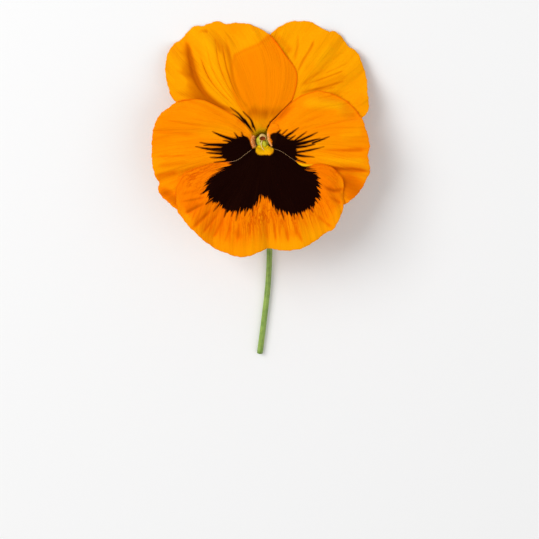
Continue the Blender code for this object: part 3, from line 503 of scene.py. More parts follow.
def point_along(line, fraction):
    """Points of a polyline at fractions of its length."""
    steps = np.linalg.norm(np.diff(line, axis=0), axis=1)
    length = np.concatenate([[0.0], np.cumsum(steps)])
    place = np.clip(fraction, 0.0, 1.0) * length[-1]
    return np.stack([np.interp(place, length, line[:, k]) for k in range(line.shape[1])], axis=-1)


def claw_line(petal, u):
    """The claw's end row: an arc round the throat, or the mouth of the gutter on the lower petal."""
    if petal["name"] == "lower_petal":
        angle = u * MOUTH_REACH
        return np.stack([-MOUTH_HALF_WIDTH * np.sin(angle) / math.sin(MOUTH_REACH),
                         MOUTH_Y - MOUTH_DEPTH * np.cos(angle)], axis=-1)
    angle = np.radians(petal["claw"] - u * petal.get("spread", CLAW_HALF_ANGLE))
    return CLAW_RADIUS * np.stack([np.cos(angle), np.sin(angle)], axis=-1)


def petal_edges(petal):
    claw_a, claw_b = claw_line(petal, np.array([-1.0, 1.0]))
    side_a = curve_through([claw_a] + petal["side_a"])
    side_b = curve_through([claw_b] + petal["side_b"])
    return side_a, curve_through(petal["top"]), side_b


def outline(petal):
    side_a, top, side_b = petal_edges(petal)
    return np.vstack([side_a[::3], top[::4], side_b[::-3]])


def face_place(petal, u, v):
    """Where the sheet's point u (-1 to 1 across), v (0 to 1 outward) lies in the face, in mm."""
    side_a, top, side_b = petal_edges(petal)
    along_a, along_b = point_along(side_a, v), point_along(side_b, v)
    along_top = point_along(top, (u + 1.0) / 2.0)
    across = ((u + 1.0) / 2.0)[:, None]
    outward = v[:, None]
    corners = ((1 - across) * ((1 - outward) * side_a[0] + outward * side_a[-1])
               + across * ((1 - outward) * side_b[0] + outward * side_b[-1]))
    return ((1 - across) * along_a + across * along_b
            + (1 - outward) * claw_line(petal, u) + outward * along_top - corners)


def signed_distance(points, polygon):
    """Distance from each point to the polygon's edge: positive outside, negative inside."""
    near = np.full(len(points), np.inf)
    inside = np.zeros(len(points), dtype=bool)
    for (sx, sy), (dx, dy) in zip(polygon, np.roll(polygon, -1, axis=0) - polygon):
        ox, oy = points[:, 0] - sx, points[:, 1] - sy
        share = np.clip((ox * dx + oy * dy) / max(dx * dx + dy * dy, 1e-9), 0, 1)
        near = np.minimum(near, np.hypot(ox - share * dx, oy - share * dy))
        if abs(dy) > 1e-9:
            crosses = (sy > points[:, 1]) != (sy + dy > points[:, 1])
            inside ^= crosses & (points[:, 0] < sx + (points[:, 1] - sy) * dx / dy)
    return np.where(inside, -near, near)


def waves(value, sizes, seed):
    """A smooth irregular line: sines of the given cycles and heights, with fixed phases."""
    total = np.zeros_like(value)
    for i, (cycles, height) in enumerate(sizes):
        total += height * np.sin(2 * math.pi * (cycles * value + math.modf(seed * (i + 1) * 1.618)[0]))
    return total


def shared_depth(place):
    """The form that all petals share: the upper tips, the sides and the foot all bend back."""
    x, y = place[:, 0], place[:, 1]
    left_tip = LEFT_TIP_DROP * smooth_step(*LEFT_TIP_RISE, y) * smooth_step(0, LEFT_TIP_WIDTH, -x)
    return (-UPPER_REFLEX * np.maximum(0, y - UPPER_REFLEX_FROM) ** 2
            - LOWER_REFLEX * np.maximum(0, -y - LOWER_REFLEX_FROM) ** 2
            - SIDE_REFLEX * np.maximum(0, np.abs(x) - SIDE_REFLEX_FROM) ** 2 - left_tip)


def funnel_depth(petal, place):
    """Depth of the funnel from the claws at the back out to the petal's own layer."""
    beyond = np.maximum(np.linalg.norm(place, axis=1) - CLAW_RADIUS, 0.0)
    share = sum(part * np.exp(-beyond / reach) for part, reach in (FUNNEL_WALL, FUNNEL_FLARE))
    if petal["name"] == "lower_petal":
        share = LOWER_FUNNEL_SHARE * share
    level = petal["layer"] * LAYER_STEP
    return level + (CLAW_BACK - level) * share


def fold_height(petal, u, v):
    """The main folds, fine radial furrows between the veins, and a ruffle at the margin."""
    height = np.zeros_like(u)
    for place, width, amount, begin in FOLDS[petal["name"]]:
        height += amount * np.exp(-((u - place) / width) ** 2) * smooth_step(begin, 1.0, v)
    seed = petal["seed"]
    furrows = FURROWS[petal["layer"]] * waves(u + 0.02 * np.sin(5 * v + seed), FURROW_WAVES, seed)
    ruffle = waves(u, RUFFLE_WAVES, seed + 0.37)
    return height + furrows * smooth_step(0.12, 0.7, v) + ruffle * smooth_step(0.72, 1.0, v)


def petal_depth(petal, place, u, v):
    """Depth of the sheet in the bloom's frame, and how far each point lies inside a petal behind it."""
    folds = fold_height(petal, u, v) + TONE_RELIEF * tone_of(petal, place)
    raised = np.ones_like(u)
    sunk = np.ones_like(u)
    drop = np.zeros_like(u)
    behind = np.full(len(u), FAR_INSIDE)
    level = funnel_depth(petal, place)
    for other in PETALS:
        if other is petal:
            continue
        distance = signed_distance(place, outline(other))
        clear = smooth_step(0.0, FOLD_FADE, distance)
        if other["layer"] > petal["layer"]:
            raised *= clear
        if other["layer"] < petal["layer"]:
            sunk *= clear
            behind = np.maximum(behind, -distance)
            cover = smooth_step(-0.5, 2.0, -distance)
            drop += cover * (funnel_depth(other, place) + MARGIN_GAP - level - drop)
    margin = smooth_step(MARGIN_WIDTH, 0.0, -signed_distance(place, outline(petal)))
    if petal["name"] != "lower_petal":
        margin *= smooth_step(*MARGIN_FROM, np.linalg.norm(place, axis=1))
    depth = level + shared_depth(place)
    depth += np.maximum(folds, 0) * raised + np.minimum(folds, 0) * sunk + margin * drop
    if petal["name"] == "lower_petal":
        across = np.exp(-(place[:, 0] / GROOVE_HALF_WIDTH) ** 2)
        along = np.exp(-np.maximum(0, -place[:, 1] - GROOVE_FROM) / GROOVE_LENGTH)
        depth -= THROAT_GROOVE * across * along
    return depth, behind


def to_part(points):
    """From the resting place in mm to the part's own origin, in metres."""
    return (points - np.array([CENTRE_X, CENTRE_Y, 0.0])) * MM


def laid(points):
    """From the bloom's frame to the part's, laid down, with upper tips flat on the floor."""
    x, y, z = np.moveaxis(points, -1, 0)
    turned = np.stack([x, y * math.cos(TILT) + z * math.sin(TILT),
                       z * math.cos(TILT) - y * math.sin(TILT) + THROAT_HEIGHT], axis=-1)
    above = turned[..., 2] - REST_HEIGHT
    blend = FLAT_TIP_BLEND
    soft = np.where(above > blend, above, np.where(above < -blend, 0.0, (above + blend) ** 2 / (4 * blend)))
    turned[..., 2] = REST_HEIGHT + soft
    return to_part(turned)


def distance_to_line(points, start, stop):
    """Distance from each point to a straight line piece, and the share of the way along it."""
    step = stop - start
    share = np.clip(((points - start) @ step) / (step @ step), 0, 1)
    return np.linalg.norm(points - start - share[:, None] * step, axis=1), share


def ink_depth(petal, place):
    """How far inside the dark patch each point lies, in mm, below 0 outside it."""
    patch = MARKS[petal["name"]]["patch"]
    if not patch:
        return np.full(len(place), NO_INK)
    return -signed_distance(place, np.array(patch, dtype=float))


def stroke_depth(petal, place):
    """How far inside the nearest dark whisker each point lies, in mm, below 0 outside it."""
    depth = np.full(len(place), NO_INK)
    for root, bend, tip, half_width in MARKS[petal["name"]]["whiskers"]:
        line = curve_through([root, bend, tip], pieces=5)
        count = len(line) - 1
        for i in range(count):
            distance, share = distance_to_line(place, line[i], line[i + 1])
            taper = WHISKER_WIDTH * half_width * (1 - (i + share) / count) ** WHISKER_TAPER
            depth = np.maximum(depth, taper - distance)
    return depth


def tone_of(petal, place):
    """Soft strokes of painted highlight and painted shade, with some fine vein lines, which also raise and
    sink the sheet a little.
    """
    total = np.zeros(len(place))
    for points, half_width, amount in TONES[petal["name"]]:
        line = curve_through(points, pieces=4)
        near = np.full(len(place), np.inf)
        along = np.zeros(len(place))
        for i in range(len(line) - 1):
            distance, share = distance_to_line(place, line[i], line[i + 1])
            along = np.where(distance < near, (i + share) / (len(line) - 1), along)
            near = np.minimum(near, distance)
        inner = smooth_step(0.0, 0.3, along) * smooth_step(1.0, 0.8, along)
        fade = TONE_AT_ENDS + (1 - TONE_AT_ENDS) * inner
        total += amount * fade * np.exp(-(near / half_width) ** 2)
    return total


# Materials

def linear(red, green, blue):
    """A display colour of 0 to 255 as the linear colour that shaders take."""
    made = []
    for value in (red, green, blue):
        share = value / 255.0
        made.append(share / 12.92 if share <= 0.04045 else ((share + 0.055) / 1.055) ** 2.4)
    return (*made, 1.0)


class Value:
    """A number or colour that a node gives. Sums and products of it build more nodes."""

    def __init__(self, shader, socket):
        self.shader = shader
        self.socket = socket

    def __add__(self, other):
        return self.shader.math("ADD", self, other)

    def __sub__(self, other):
        return self.shader.math("SUBTRACT", self, other)

    def __rsub__(self, other):
        return self.shader.math("SUBTRACT", other, self)

    def __mul__(self, other):
        return self.shader.math("MULTIPLY", self, other)

    def __abs__(self):
        return self.shader.math("ABSOLUTE", self)

    def ramp(self, low, high, start=0.0, stop=1.0):
        return self.shader.add("ShaderNodeMapRange", (self, low, high, start, stop),
                               interpolation_type="SMOOTHSTEP")


class Shader:
    """A material's node tree, built by short calls. Its base is the colour painted so far."""

    def __init__(self, name):
        self.material = bpy.data.materials.new(name)
        self.material.use_nodes = True
        self.tree = self.material.node_tree
        self.surface = self.tree.nodes["Principled BSDF"]
        self.base = None

    def put(self, socket, value):
        if isinstance(value, Value):
            self.tree.links.new(value.socket, socket)
        elif isinstance(value, tuple) and len(value) == 3:
            socket.default_value = linear(*value)
        else:
            socket.default_value = value

    def add(self, kind, values=(), output=0, **settings):
        """A node with the given settings. Values go to its inputs in order, or by name."""
        node = self.tree.nodes.new(kind)
        for name, value in settings.items():
            setattr(node, name, value)
        named = values.items() if isinstance(values, dict) else enumerate(values)
        for key, value in named:
            self.put(node.inputs[key], value)
        return Value(self, node.outputs[output])

    def number(self, label):
        return self.add("ShaderNodeAttribute", output="Fac", attribute_name=label)

    def vector(self, label):
        return self.add("ShaderNodeAttribute", output="Vector", attribute_name=label)

    def parts(self, label):
        """The x, y and z of a vector attribute."""
        split = self.add("ShaderNodeSeparateXYZ", (self.vector(label),)).socket.node
        return [Value(self, socket) for socket in split.outputs]

    def math(self, operation, a, b=0.0):
        return self.add("ShaderNodeMath", (a, b), operation=operation)

    def noise(self, vector, scale, detail, roughness=0.5):
        return self.add("ShaderNodeTexNoise", {"Vector": vector, "Scale": scale, "Detail": detail,
                                               "Roughness": roughness}, output="Fac")

    def spots(self, scale, detail):
        """Noise that is even over the face, with its scale in mm."""
        return self.noise(self.vector("face"), scale, detail)

    def streaks(self, x, y, seed, detail=3.0, roughness=0.5):
        return self.noise(self.add("ShaderNodeCombineXYZ", (x, y, seed)), 1.0, detail, roughness)

    def distance(self, x, y):
        return self.math("SQRT", x * x + y * y)

    def mix(self, share, first, second):
        return self.add("ShaderNodeMix", {0: share, 6: first, 7: second}, output=2, data_type="RGBA")

    def start(self, share, first, second):
        self.base = self.mix(share, first, second)

    def paint(self, share, colour):
        self.base = self.mix(share, self.base, colour)

    def bump(self, height, strength, distance, below=None):
        values = {"Height": height, "Strength": strength, "Distance": distance}
        if below is not None:
            values["Normal"] = below
        return self.add("ShaderNodeBump", values)

    def finish(self, roughness, gloss, **values):
        values.update(Base_Color=self.base, Roughness=roughness, Specular_IOR_Level=gloss)
        for name, value in values.items():
            self.put(self.surface.inputs[name.replace("_", " ")], value)
        return self.material


def vein_lines(made, u, v, seed):
    """Fine lines that fan out with the petal, branching toward the margin."""
    bend = made.streaks(u * 3.0, v * 3.0, seed, 1.0)
    across = u + (bend - 0.5) * 0.06
    main = abs(made.streaks(across * 15.0, v * 0.8, seed, 1.5) - 0.5)
    small = abs(made.streaks(across * 44.0, v * 2.2, seed + 3, 2.0) - 0.5)
    return main.ramp(0.0, 0.05, 1.0, 0.0), small.ramp(0.0, 0.07, 1.0, 0.0), across


def paint_markings(made, inside, low, high, share):
    """The dark patch and strokes, with a brown-red edge."""
    made.paint(inside.ramp(-0.5, 0.05, 0.0, share), BLOTCH_EDGE)
    made.paint(inside.ramp(low, high), BLOTCH)


def petal_front(petal):
    made = Shader(petal["name"] + "_front")
    seed = petal["seed"]
    look = PETAL_LOOK[petal["layer"]]
    upper = petal["layer"] < 0
    lower = petal["layer"] == 1
    feather = MARKS[petal["name"]]["feather"]
    u, v, _ = made.parts("sheet")
    x, y, _ = made.parts("face")
    behind, inset, tone = made.number("behind"), made.number("inset"), made.number("tone")
    main, small, across = vein_lines(made, u, v, seed)
    far = made.distance(x, y)

    cloud = made.streaks(u * 2.2, v * 1.6, seed)
    streak = made.streaks(across * 9.0, v * 1.1, seed + 7)
    covered = behind.ramp(-1.6, 2.4)
    made.start(cloud.ramp(0.35, 0.8, 0.0, 0.5), look["plain"], LIGHT)
    made.paint(streak.ramp(0.48, 0.72) * look["streak"], DEEP)
    # Painted shade: deeper where this petal lies over another, and a darker line where the petal behind it
    # ends
    made.paint(covered * look["covered"], DEEP)
    made.paint(behind.ramp(-0.9, 0.2) * behind.ramp(0.2, 1.4, 1.0, 0.0) * look["edge"], OVERLAP_SHADE_LINE)
    if lower:
        made.paint(v.ramp(0.72, 0.9, 0.4, 0.0), DEEP)
        made.paint(v.ramp(0.88, 0.97, 0.0, 0.3), LIGHT)

    # Painted highlight and painted shade from the tone strokes, mixed with random streaks: lighter on lit
    # flanks, deeper orange and brown in folds and shaded parts
    uneven = tone + (streak - 0.5) * 0.5
    made.paint(uneven.ramp(0.1, 0.9) * 0.75, LIGHT)
    made.paint(uneven.ramp(-0.06, -0.45) * 0.8, UPPER_TONE if upper else TONE_ORANGE)
    made.paint(uneven.ramp(-0.25, -1.0) * 0.85, SHADE)
    inland = v.ramp(0.97, 0.86)
    if upper:
        inland = inland * v.ramp(0.8, 0.35, 0.4, 1.0)
    open_share = inland * (1.0 - covered * 0.85)
    made.paint(main * open_share * look["main"], UPPER_VEIN if upper else VEIN)
    made.paint(small * open_share * look["small"], UPPER_VEIN if upper else VEIN)
    height = main * -0.6 + small * -0.3 + streak * 1.8
    if lower:
        wrinkle = abs(made.streaks(across * 26.0, v * 7.0, seed + 23, 3.0, 0.6) - 0.5)
        pucker = wrinkle.ramp(0.0, 0.06, 1.0, 0.0) * cloud.ramp(0.38, 0.62) * v.ramp(0.92, 0.76)
        # Painted shade: the wrinkle creases, also sunk by the bump, are painted darker
        made.paint(pucker * 0.75, WRINKLE_SHADE)
        height = height - pucker

    # Painted shade: a darker line along this petal's own margin where it lies over another petal
    hem_shade = inset.ramp(0.6, 0.15) * behind.ramp(0.1, 0.7)
    made.paint(hem_shade * far.ramp(12.0, 16.0, 0.0, look["hem_shade"]), OVERLAP_SHADE_LINE)
    # The throat's green is painted brighter, as painted light where the deep funnel lies in shade
    if upper:
        made.paint(far.ramp(5.0, 12.0, 0.7, 0.0), THROAT_ORANGE)
        made.paint(far.ramp(3.4, 5.8, 0.9, 0.0), LIT_THROAT_GREEN)
    elif lower:
        warm = far.ramp(4.0, 5.8) * x.ramp(-1.8, 2.2, 0.2, 0.8)
        made.paint(far.ramp(6.2, 7.4, 1.0, 0.0), made.mix(warm, THROAT_YELLOW, THROAT_WARM))
        made.paint(far.ramp(2.6, 4.4, 0.9, 0.0), LIT_THROAT_GREEN)
    else:
        made.paint(far.ramp(3.2, 5.8, 0.8, 0.0), SALMON)

    strokes = made.streaks(across * 34.0, v * 1.6, seed + 11, 4.0, 0.7)
    fringe = made.streaks(across * 78.0, v * 5.0, seed + 17, 3.0, 0.6)
    stray = (strokes - 0.52) * (feather * 3.2) + (fringe - 0.5) * (feather * 1.1)
    ragged = (strokes - 0.5) * 0.5 + (fringe - 0.5) * 0.5
    inside = made.math("MAXIMUM", made.number("ink") + stray * far.ramp(5.5, 11.0, 0.12, 1.0),
                       made.number("stroke") + ragged)
    paint_markings(made, inside, -0.12, 0.16, 0.7)
    normal = made.bump(made.spots(9.0, 2.0), 0.1, 0.00006, made.bump(height, 0.5, 0.0002))
    made.surface.inputs["Subsurface Radius"].default_value = ORANGE_SCATTER
    return made.finish(0.6, 0.07, Normal=normal, **SOFT_TISSUE)


def petal_back(petal):
    made = Shader(petal["name"] + "_back")
    u, v, _ = made.parts("sheet")
    x, y, _ = made.parts("face")
    main, small, across = vein_lines(made, u, v, petal["seed"])
    streak = made.streaks(across * 8.0, v * 1.1, petal["seed"] + 5)
    made.start(streak.ramp(0.35, 0.7), (252, 172, 24), (246, 146, 10))
    # Painted shade on the back from the same tone strokes
    made.paint(made.number("tone").ramp(-0.1, -0.9) * 0.5, (224, 120, 6))
    made.paint(main * 0.4, (218, 118, 8))
    made.paint(small * 0.18, (226, 130, 10))
    made.paint(made.distance(x, y).ramp(3.0, 13.0, 0.9, 0.0), (206, 186, 56))
    if petal["name"] == "lower_petal":
        made.paint(v.ramp(-0.02, -0.12), (196, 168, 84))
    height = made.bump(main * 1.0 + small * 0.4, 0.5, 0.00018)
    made.surface.inputs["Subsurface Radius"].default_value = ORANGE_SCATTER
    normal = made.bump(made.spots(9.0, 2.0), 0.12, 0.00006, height)
    return made.finish(0.6, 0.15, Normal=normal, **SOFT_TISSUE)


def petal_rim(petal):
    made = Shader(petal["name"] + "_rim")
    u, v, _ = made.parts("sheet")
    streak = made.streaks(u * 60.0, v * 30.0, petal["seed"], 2.0)
    made.start(streak.ramp(0.35, 0.65), *PETAL_LOOK[petal["layer"]]["rim"])
    # Painted shade: the rim turns deeper red where it lies over another petal
    made.paint(made.number("behind").ramp(-0.3, 0.5, 0.0, 0.6), (246, 98, 0))
    if petal["name"] == "lower_petal":
        x, y, _ = made.parts("face")
        made.paint(made.distance(x, y).ramp(13.5, 16.5, 1.0, 0.0), (184, 146, 104))
        made.paint(x.ramp(12.0, 14.0) * x.ramp(17.5, 19.5, 1.0, 0.0), (255, 196, 20))
    return made.finish(0.5, 0.15, Specular_Tint=GLOSS_TINT)


def mottled(name, scale, detail, first, second, low=0.3, high=0.7):
    """A material that starts as two colours in soft spots."""
    made = Shader(name)
    made.start(made.spots(scale, detail).ramp(low, high), first, second)
    return made


def sepal_look(name):
    """Green with a pale margin, lengthwise nerves and mottling."""
    made = mottled(name, 0.9, 4.0, (72, 106, 34), (104, 138, 50))
    u, v, _ = made.parts("sheet")
    nerves = made.streaks(u * 4.0, v * 1.2, 2.0, 2.0)
    made.paint(nerves.ramp(0.5, 0.66) * 0.45, (140, 168, 74))
    made.paint(abs(u).ramp(0.8, 1.0) * 0.7, (190, 204, 130))
    normal = made.bump(nerves + made.spots(14.0, 2.0) * 0.25, 0.5, 0.0002)
    return made.finish(0.5, 0.35, Normal=normal, Subsurface_Weight=0.06, Subsurface_Scale=0.0008)


def stalk_look(name):
    """Fresh green that pales toward the neck, with fine lengthwise ribs and a few specks."""
    made = mottled(name, 0.35, 4.0, (104, 140, 52), (142, 172, 76))
    around, across, v = made.parts("sheet")
    ribs = made.streaks(around * 4.5, across * 4.5, v * 5.0, 2.0)
    made.paint(ribs.ramp(0.45, 0.65) * 0.5, (166, 190, 100))
    made.paint(made.spots(3.2, 2.0).ramp(0.66, 0.74) * 0.4, (92, 104, 40))
    made.paint(v.ramp(0.16, 0.0, 0.0, 0.6), (176, 196, 104))
    normal = made.bump(ribs + made.spots(11.0, 2.0) * 0.3, 0.5, 0.0002)
    return made.finish(0.42, 0.4, Normal=normal, Subsurface_Weight=0.08, Subsurface_Scale=0.001)


def cut_look(name):
    """The moist cut end: a green rind round paler pith."""
    made = mottled(name, 5.0, 3.0, (188, 206, 130), (212, 222, 164), 0.35, 0.65)
    around, across, _ = made.parts("sheet")
    made.paint(made.distance(around, across).ramp(0.72, 0.95), (116, 148, 60))
    return made.finish(0.35, 0.5)


def stigma_look(name):
    """Cream outside, a pale lip and a brown-red pit. The height along the profile is v."""
    made = mottled(name, 2.6, 3.0, (198, 168, 92), (222, 194, 130))
    _, across, v = made.parts("sheet")
    made.paint(v.ramp(0.62, 0.92), (176, 190, 70))
    made.paint(v.ramp(0.42, 0.36), (236, 190, 130))
    made.paint(across.ramp(-0.2, 0.5) * v.ramp(0.55, 0.45), (176, 92, 20))
    made.paint(v.ramp(0.37, 0.3), (150, 66, 8))
    return made.finish(0.5, 0.15, Normal=made.bump(made.spots(9.0, 2.0), 0.3, 0.00008), Subsurface_Weight=0.1,
                       Subsurface_Scale=0.0006)


def style_look(name):
    return mottled(name, 1.8, 3.0, (176, 176, 10), (206, 200, 40)).finish(0.45, 0.35)


def thread_look(name):
    return mottled(name, 2.2, 2.0, (226, 190, 110), (240, 216, 150)).finish(0.45, 0.3)


def anther_look(name):
    """A yellow-green sleeve with paler tips; the pale tips are painted light that brightens the shaded
    throat.
    """
    made = mottled(name, 1.6, 3.0, (176, 180, 24), (206, 206, 60))
    _, v, _ = made.parts("sheet")
    # Painted light: the tips are painted pale to brighten the shaded throat
    made.paint(v.ramp(0.86, 1.0, 0.0, 0.7), (228, 216, 110))
    return made.finish(0.5, 0.25)


def beard_look(name):
    """Short hairs, salmon at the root and paler at the tip."""
    made = mottled(name, 2.4, 2.0, (255, 156, 62), (255, 176, 88))
    _, v, _ = made.parts("sheet")
    made.paint(v.ramp(0.4, 1.0, 0.0, 0.65), (255, 204, 132))
    return made.finish(0.6, 0.1)


def curl_look(name):
    """The petal's yellow back, streaked along the roll."""
    made = Shader(name)
    around, across, v = made.parts("sheet")
    streak = made.noise(made.add("ShaderNodeCombineXYZ", (around * 2.0, across * 2.0, v)), 2.0, 3.0)
    made.start(streak.ramp(0.3, 0.7), (255, 196, 10), (252, 164, 4))
    return made.finish(0.5, 0.2, Specular_Tint=GLOSS_TINT)


def lip_look(name):
    """Orange that turns salmon at the free edge, with the foot of the dark marking."""
    made = Shader(name)
    along, s, _ = made.parts("sheet")
    streak = made.streaks(along * 30.0, s * 1.5, 4.0)
    made.start(streak.ramp(0.35, 0.7), SIDE_ORANGE, (250, 126, 6))
    made.paint(s.ramp(0.66, 0.9, 0.0, 0.85) * along.ramp(0.3, 0.5), SALMON)
    paint_markings(made, made.number("ink") + (streak - 0.5) * 0.7, -0.12, 0.18, 0.75)
    return made.finish(0.5, 0.15, Normal=made.bump(streak, 0.4, 0.0001), **SOFT_TISSUE)


# Meshes

def unit(vectors):
    """Vectors brought to length 1."""
    return vectors / np.maximum(np.linalg.norm(vectors, axis=-1, keepdims=True), 1e-12)


def turns(columns):
    """Even angles round a ring."""
    return 2 * np.pi * np.arange(columns) / columns


def circle(angle, side, other):
    """Points at distance 1 round a ring, from two directions that span it."""
    return np.cos(angle)[:, None] * side + np.sin(angle)[:, None] * other


def sheet_places(u, v):
    """The sheet's own places as vectors, from u across and v outward."""
    return np.dstack(np.broadcast_arrays(u, v, 0.0))


def link(name, data):
    made = bpy.data.objects.new(name, data)
    bpy.context.scene.collection.objects.link(made)
    return made


def build_mesh(name, points, faces, slots, looks, node, attributes):
    """A piece from points in metres, with the vectors and numbers that its materials read."""
    mesh = bpy.data.meshes.new(name)
    mesh.from_pydata(points.tolist(), [], faces)
    for look in looks:
        mesh.materials.append(look)
    mesh.polygons.foreach_set("material_index", np.asarray(slots, dtype=np.int32))
    mesh.polygons.foreach_set("use_smooth", np.ones(len(faces), dtype=bool))
    for label, values in attributes.items():
        kind, field = ("FLOAT_VECTOR", "vector") if values.shape[1] == 3 else ("FLOAT", "value")
        layer = mesh.attributes.new(label, kind, "POINT")
        layer.data.foreach_set(field, np.ascontiguousarray(values, dtype=np.float32).ravel())
    mesh.update()
    made = link(name, mesh)
    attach(made, "root")
    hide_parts(node)


def grid_faces(rows, columns, first=0):
    """Quads of a grid of points stored row by row."""
    row, column = np.meshgrid(np.arange(rows - 1), np.arange(columns - 1), indexing="ij")
    corner = (first + row * columns + column).ravel()
    return np.column_stack([corner, corner + 1, corner + columns + 1, corner + columns])


def ring_faces(rows, columns):
    """Quads between rings of points stored ring by ring."""
    row, column = np.meshgrid(np.arange(rows - 1), np.arange(columns), indexing="ij")
    here, after = (row * columns + column).ravel(), (row * columns + (column + 1) % columns).ravel()
    return np.column_stack([here, after, after + columns, here + columns])


def shell(name, grid, thickness, looks, node, attributes):
    """Front sheet, back sheet and a rounded rim from a grid of middle points, in metres."""
    rows, columns, _ = grid.shape
    total = rows * columns
    middle = grid.reshape(total, 3)
    normal = unit(np.cross(np.gradient(grid, axis=1), np.gradient(grid, axis=0))).reshape(total, 3)
    half = np.broadcast_to(thickness / 2 * MM, (rows, columns)).reshape(total, 1)
    index = np.arange(total).reshape(rows, columns)
    border = np.concatenate([index[0, :-1], index[:-1, -1], index[-1, :0:-1], index[:0:-1, 0]])
    inner = np.concatenate([index[1, :-1], index[:-1, -2], index[-2, :0:-1], index[:0:-1, 1]])
    bulge = middle[border] + unit(middle[border] - middle[inner]) * half[border] * RIM_BULGE
    points = np.vstack([middle + normal * half, middle - normal * half, bulge])

    here = np.arange(len(border))
    after = np.roll(here, -1)
    rim = 2 * total
    skins = [grid_faces(rows, columns), grid_faces(rows, columns, total)[:, ::-1],
             np.column_stack([border[after], border, rim + here, rim + after]),
             np.column_stack([rim + after, rim + here, total + border, total + border[after]])]
    slots = np.repeat([0, 1, 2, 2], [len(skin) for skin in skins])
    spread = {}
    for label, values in attributes.items():
        flat = np.reshape(values, (total, -1))
        spread[label] = np.vstack([flat, flat, flat[border]])
    build_mesh(name, points, np.vstack(skins).tolist(), slots, looks, node, spread)


def gutter_rows(u, first, lead):
    """Rows of the spur and gutter, in the bloom's frame, up to the blade's first row."""
    knots = [np.tile(SPUR_END, (len(u), 1))]
    for y, z, half_width, half_depth, reach in GUTTER:
        angle = u * math.radians(reach)
        knots.append(np.column_stack([-half_width * np.sin(angle), y - half_depth * np.cos(angle),
                                      np.full(len(u), z)]))
    return curve_through(knots + [first, lead], pieces=GUTTER_STEPS)[:-GUTTER_STEPS - 1]


def build_petal(petal):
    """A petal with nicks at its margin. The lower one runs back as gutter and spur, where v is below 0."""
    across = np.linspace(-1, 1, COLUMNS)
    u, v = np.meshgrid(across, np.linspace(0, 1, ROWS) ** ROW_SPACING)
    place = face_place(petal, u.ravel(), v.ravel())
    nicks = waves(u.ravel(), NICK_WAVES, petal["seed"]) * smooth_step(NICKS_FROM, 1.0, v.ravel())
    place = place + unit(place) * nicks[:, None]
    depth, behind = petal_depth(petal, place, u.ravel(), v.ravel())
    points = np.column_stack([place, depth]).reshape(ROWS, COLUMNS, 3)
    if petal["name"] == "lower_petal":
        throat = gutter_rows(across, points[0], points[BLADE_LEAD])
        points = np.concatenate([throat, points])
        behind = np.concatenate([np.full(len(throat) * COLUMNS, FAR_INSIDE), behind])
        u, lead = np.meshgrid(across, np.linspace(*GUTTER_V, len(throat)))
        u, v = np.concatenate([u, np.tile(across, (ROWS, 1))]), np.concatenate([lead, v])

    place = points.reshape(-1, 3)[:, :2]
    inner = v.ravel() < 0
    attributes = {"sheet": sheet_places(u, v), "face": points, "behind": behind,
                  "tone": tone_of(petal, place),
                  "ink": np.where(inner, NO_INK, ink_depth(petal, place)),
                  "stroke": np.where(inner, NO_INK, stroke_depth(petal, place)),
                  "inset": -signed_distance(place, outline(petal))}
    thickness = THICK_AT_CLAW + (THICK_AT_MARGIN - THICK_AT_CLAW) * smooth_step(0.0, THIN_FROM, v)
    looks = [petal_front(petal), petal_back(petal), petal_rim(petal)]
    shell(petal["name"] + "_fine", laid(points), thickness, looks, petal["name"],
          attributes)


def closed_rings(name, rings, looks, node, lengths=None):
    """A closed skin through rings of points, in metres. The caps at both ends wear the last look."""
    rows, columns, _ = rings.shape
    if lengths is None:
        lengths = np.linspace(0, 1, rows)
    first, last = rows * columns, rows * columns + 1
    caps = []
    for k in range(columns):
        following = (k + 1) % columns
        caps.append((first, following, k))
        caps.append((last, (rows - 1) * columns + k, (rows - 1) * columns + following))
    faces = ring_faces(rows, columns).tolist() + caps
    slots = np.where(np.arange(len(faces)) < len(faces) - len(caps), 0, len(looks) - 1)
    points = np.vstack([rings.reshape(-1, 3), rings[0].mean(axis=0), rings[-1].mean(axis=0)])
    angle = np.tile(turns(columns), rows)
    sheet = np.column_stack([np.cos(angle), np.sin(angle), np.repeat(lengths, columns)])
    sheet = np.vstack([sheet, [0, 0, lengths[0]], [0, 0, lengths[-1]]])
    build_mesh(name, points, faces, slots, looks, node, {"sheet": sheet, "face": points / MM})


def tube_rings(path, radii, columns):
    """Rings round a path, with a radius for each point and angle, all in metres."""
    tangent = unit(np.gradient(path, axis=0))
    side = np.cross(tangent[0], [0.0, 0.0, 1.0] if abs(tangent[0][2]) < 0.9 else [1.0, 0.0, 0.0])
    rings = []
    for centre, ahead, radius in zip(path, tangent, np.broadcast_to(radii, (len(path), columns))):
        side = unit(side - ahead * (side @ ahead))
        rings.append(centre + radius[:, None] * circle(turns(columns), side, np.cross(ahead, side)))
    return np.array(rings)


def build_rod(name, rod, columns, look, node):
    """A round rod from rows of x, y, z and radius in the bloom's frame."""
    rings = tube_rings(laid(rod[:, :3]), rod[:, 3:] * MM, columns)
    closed_rings(name, rings, [look], node)


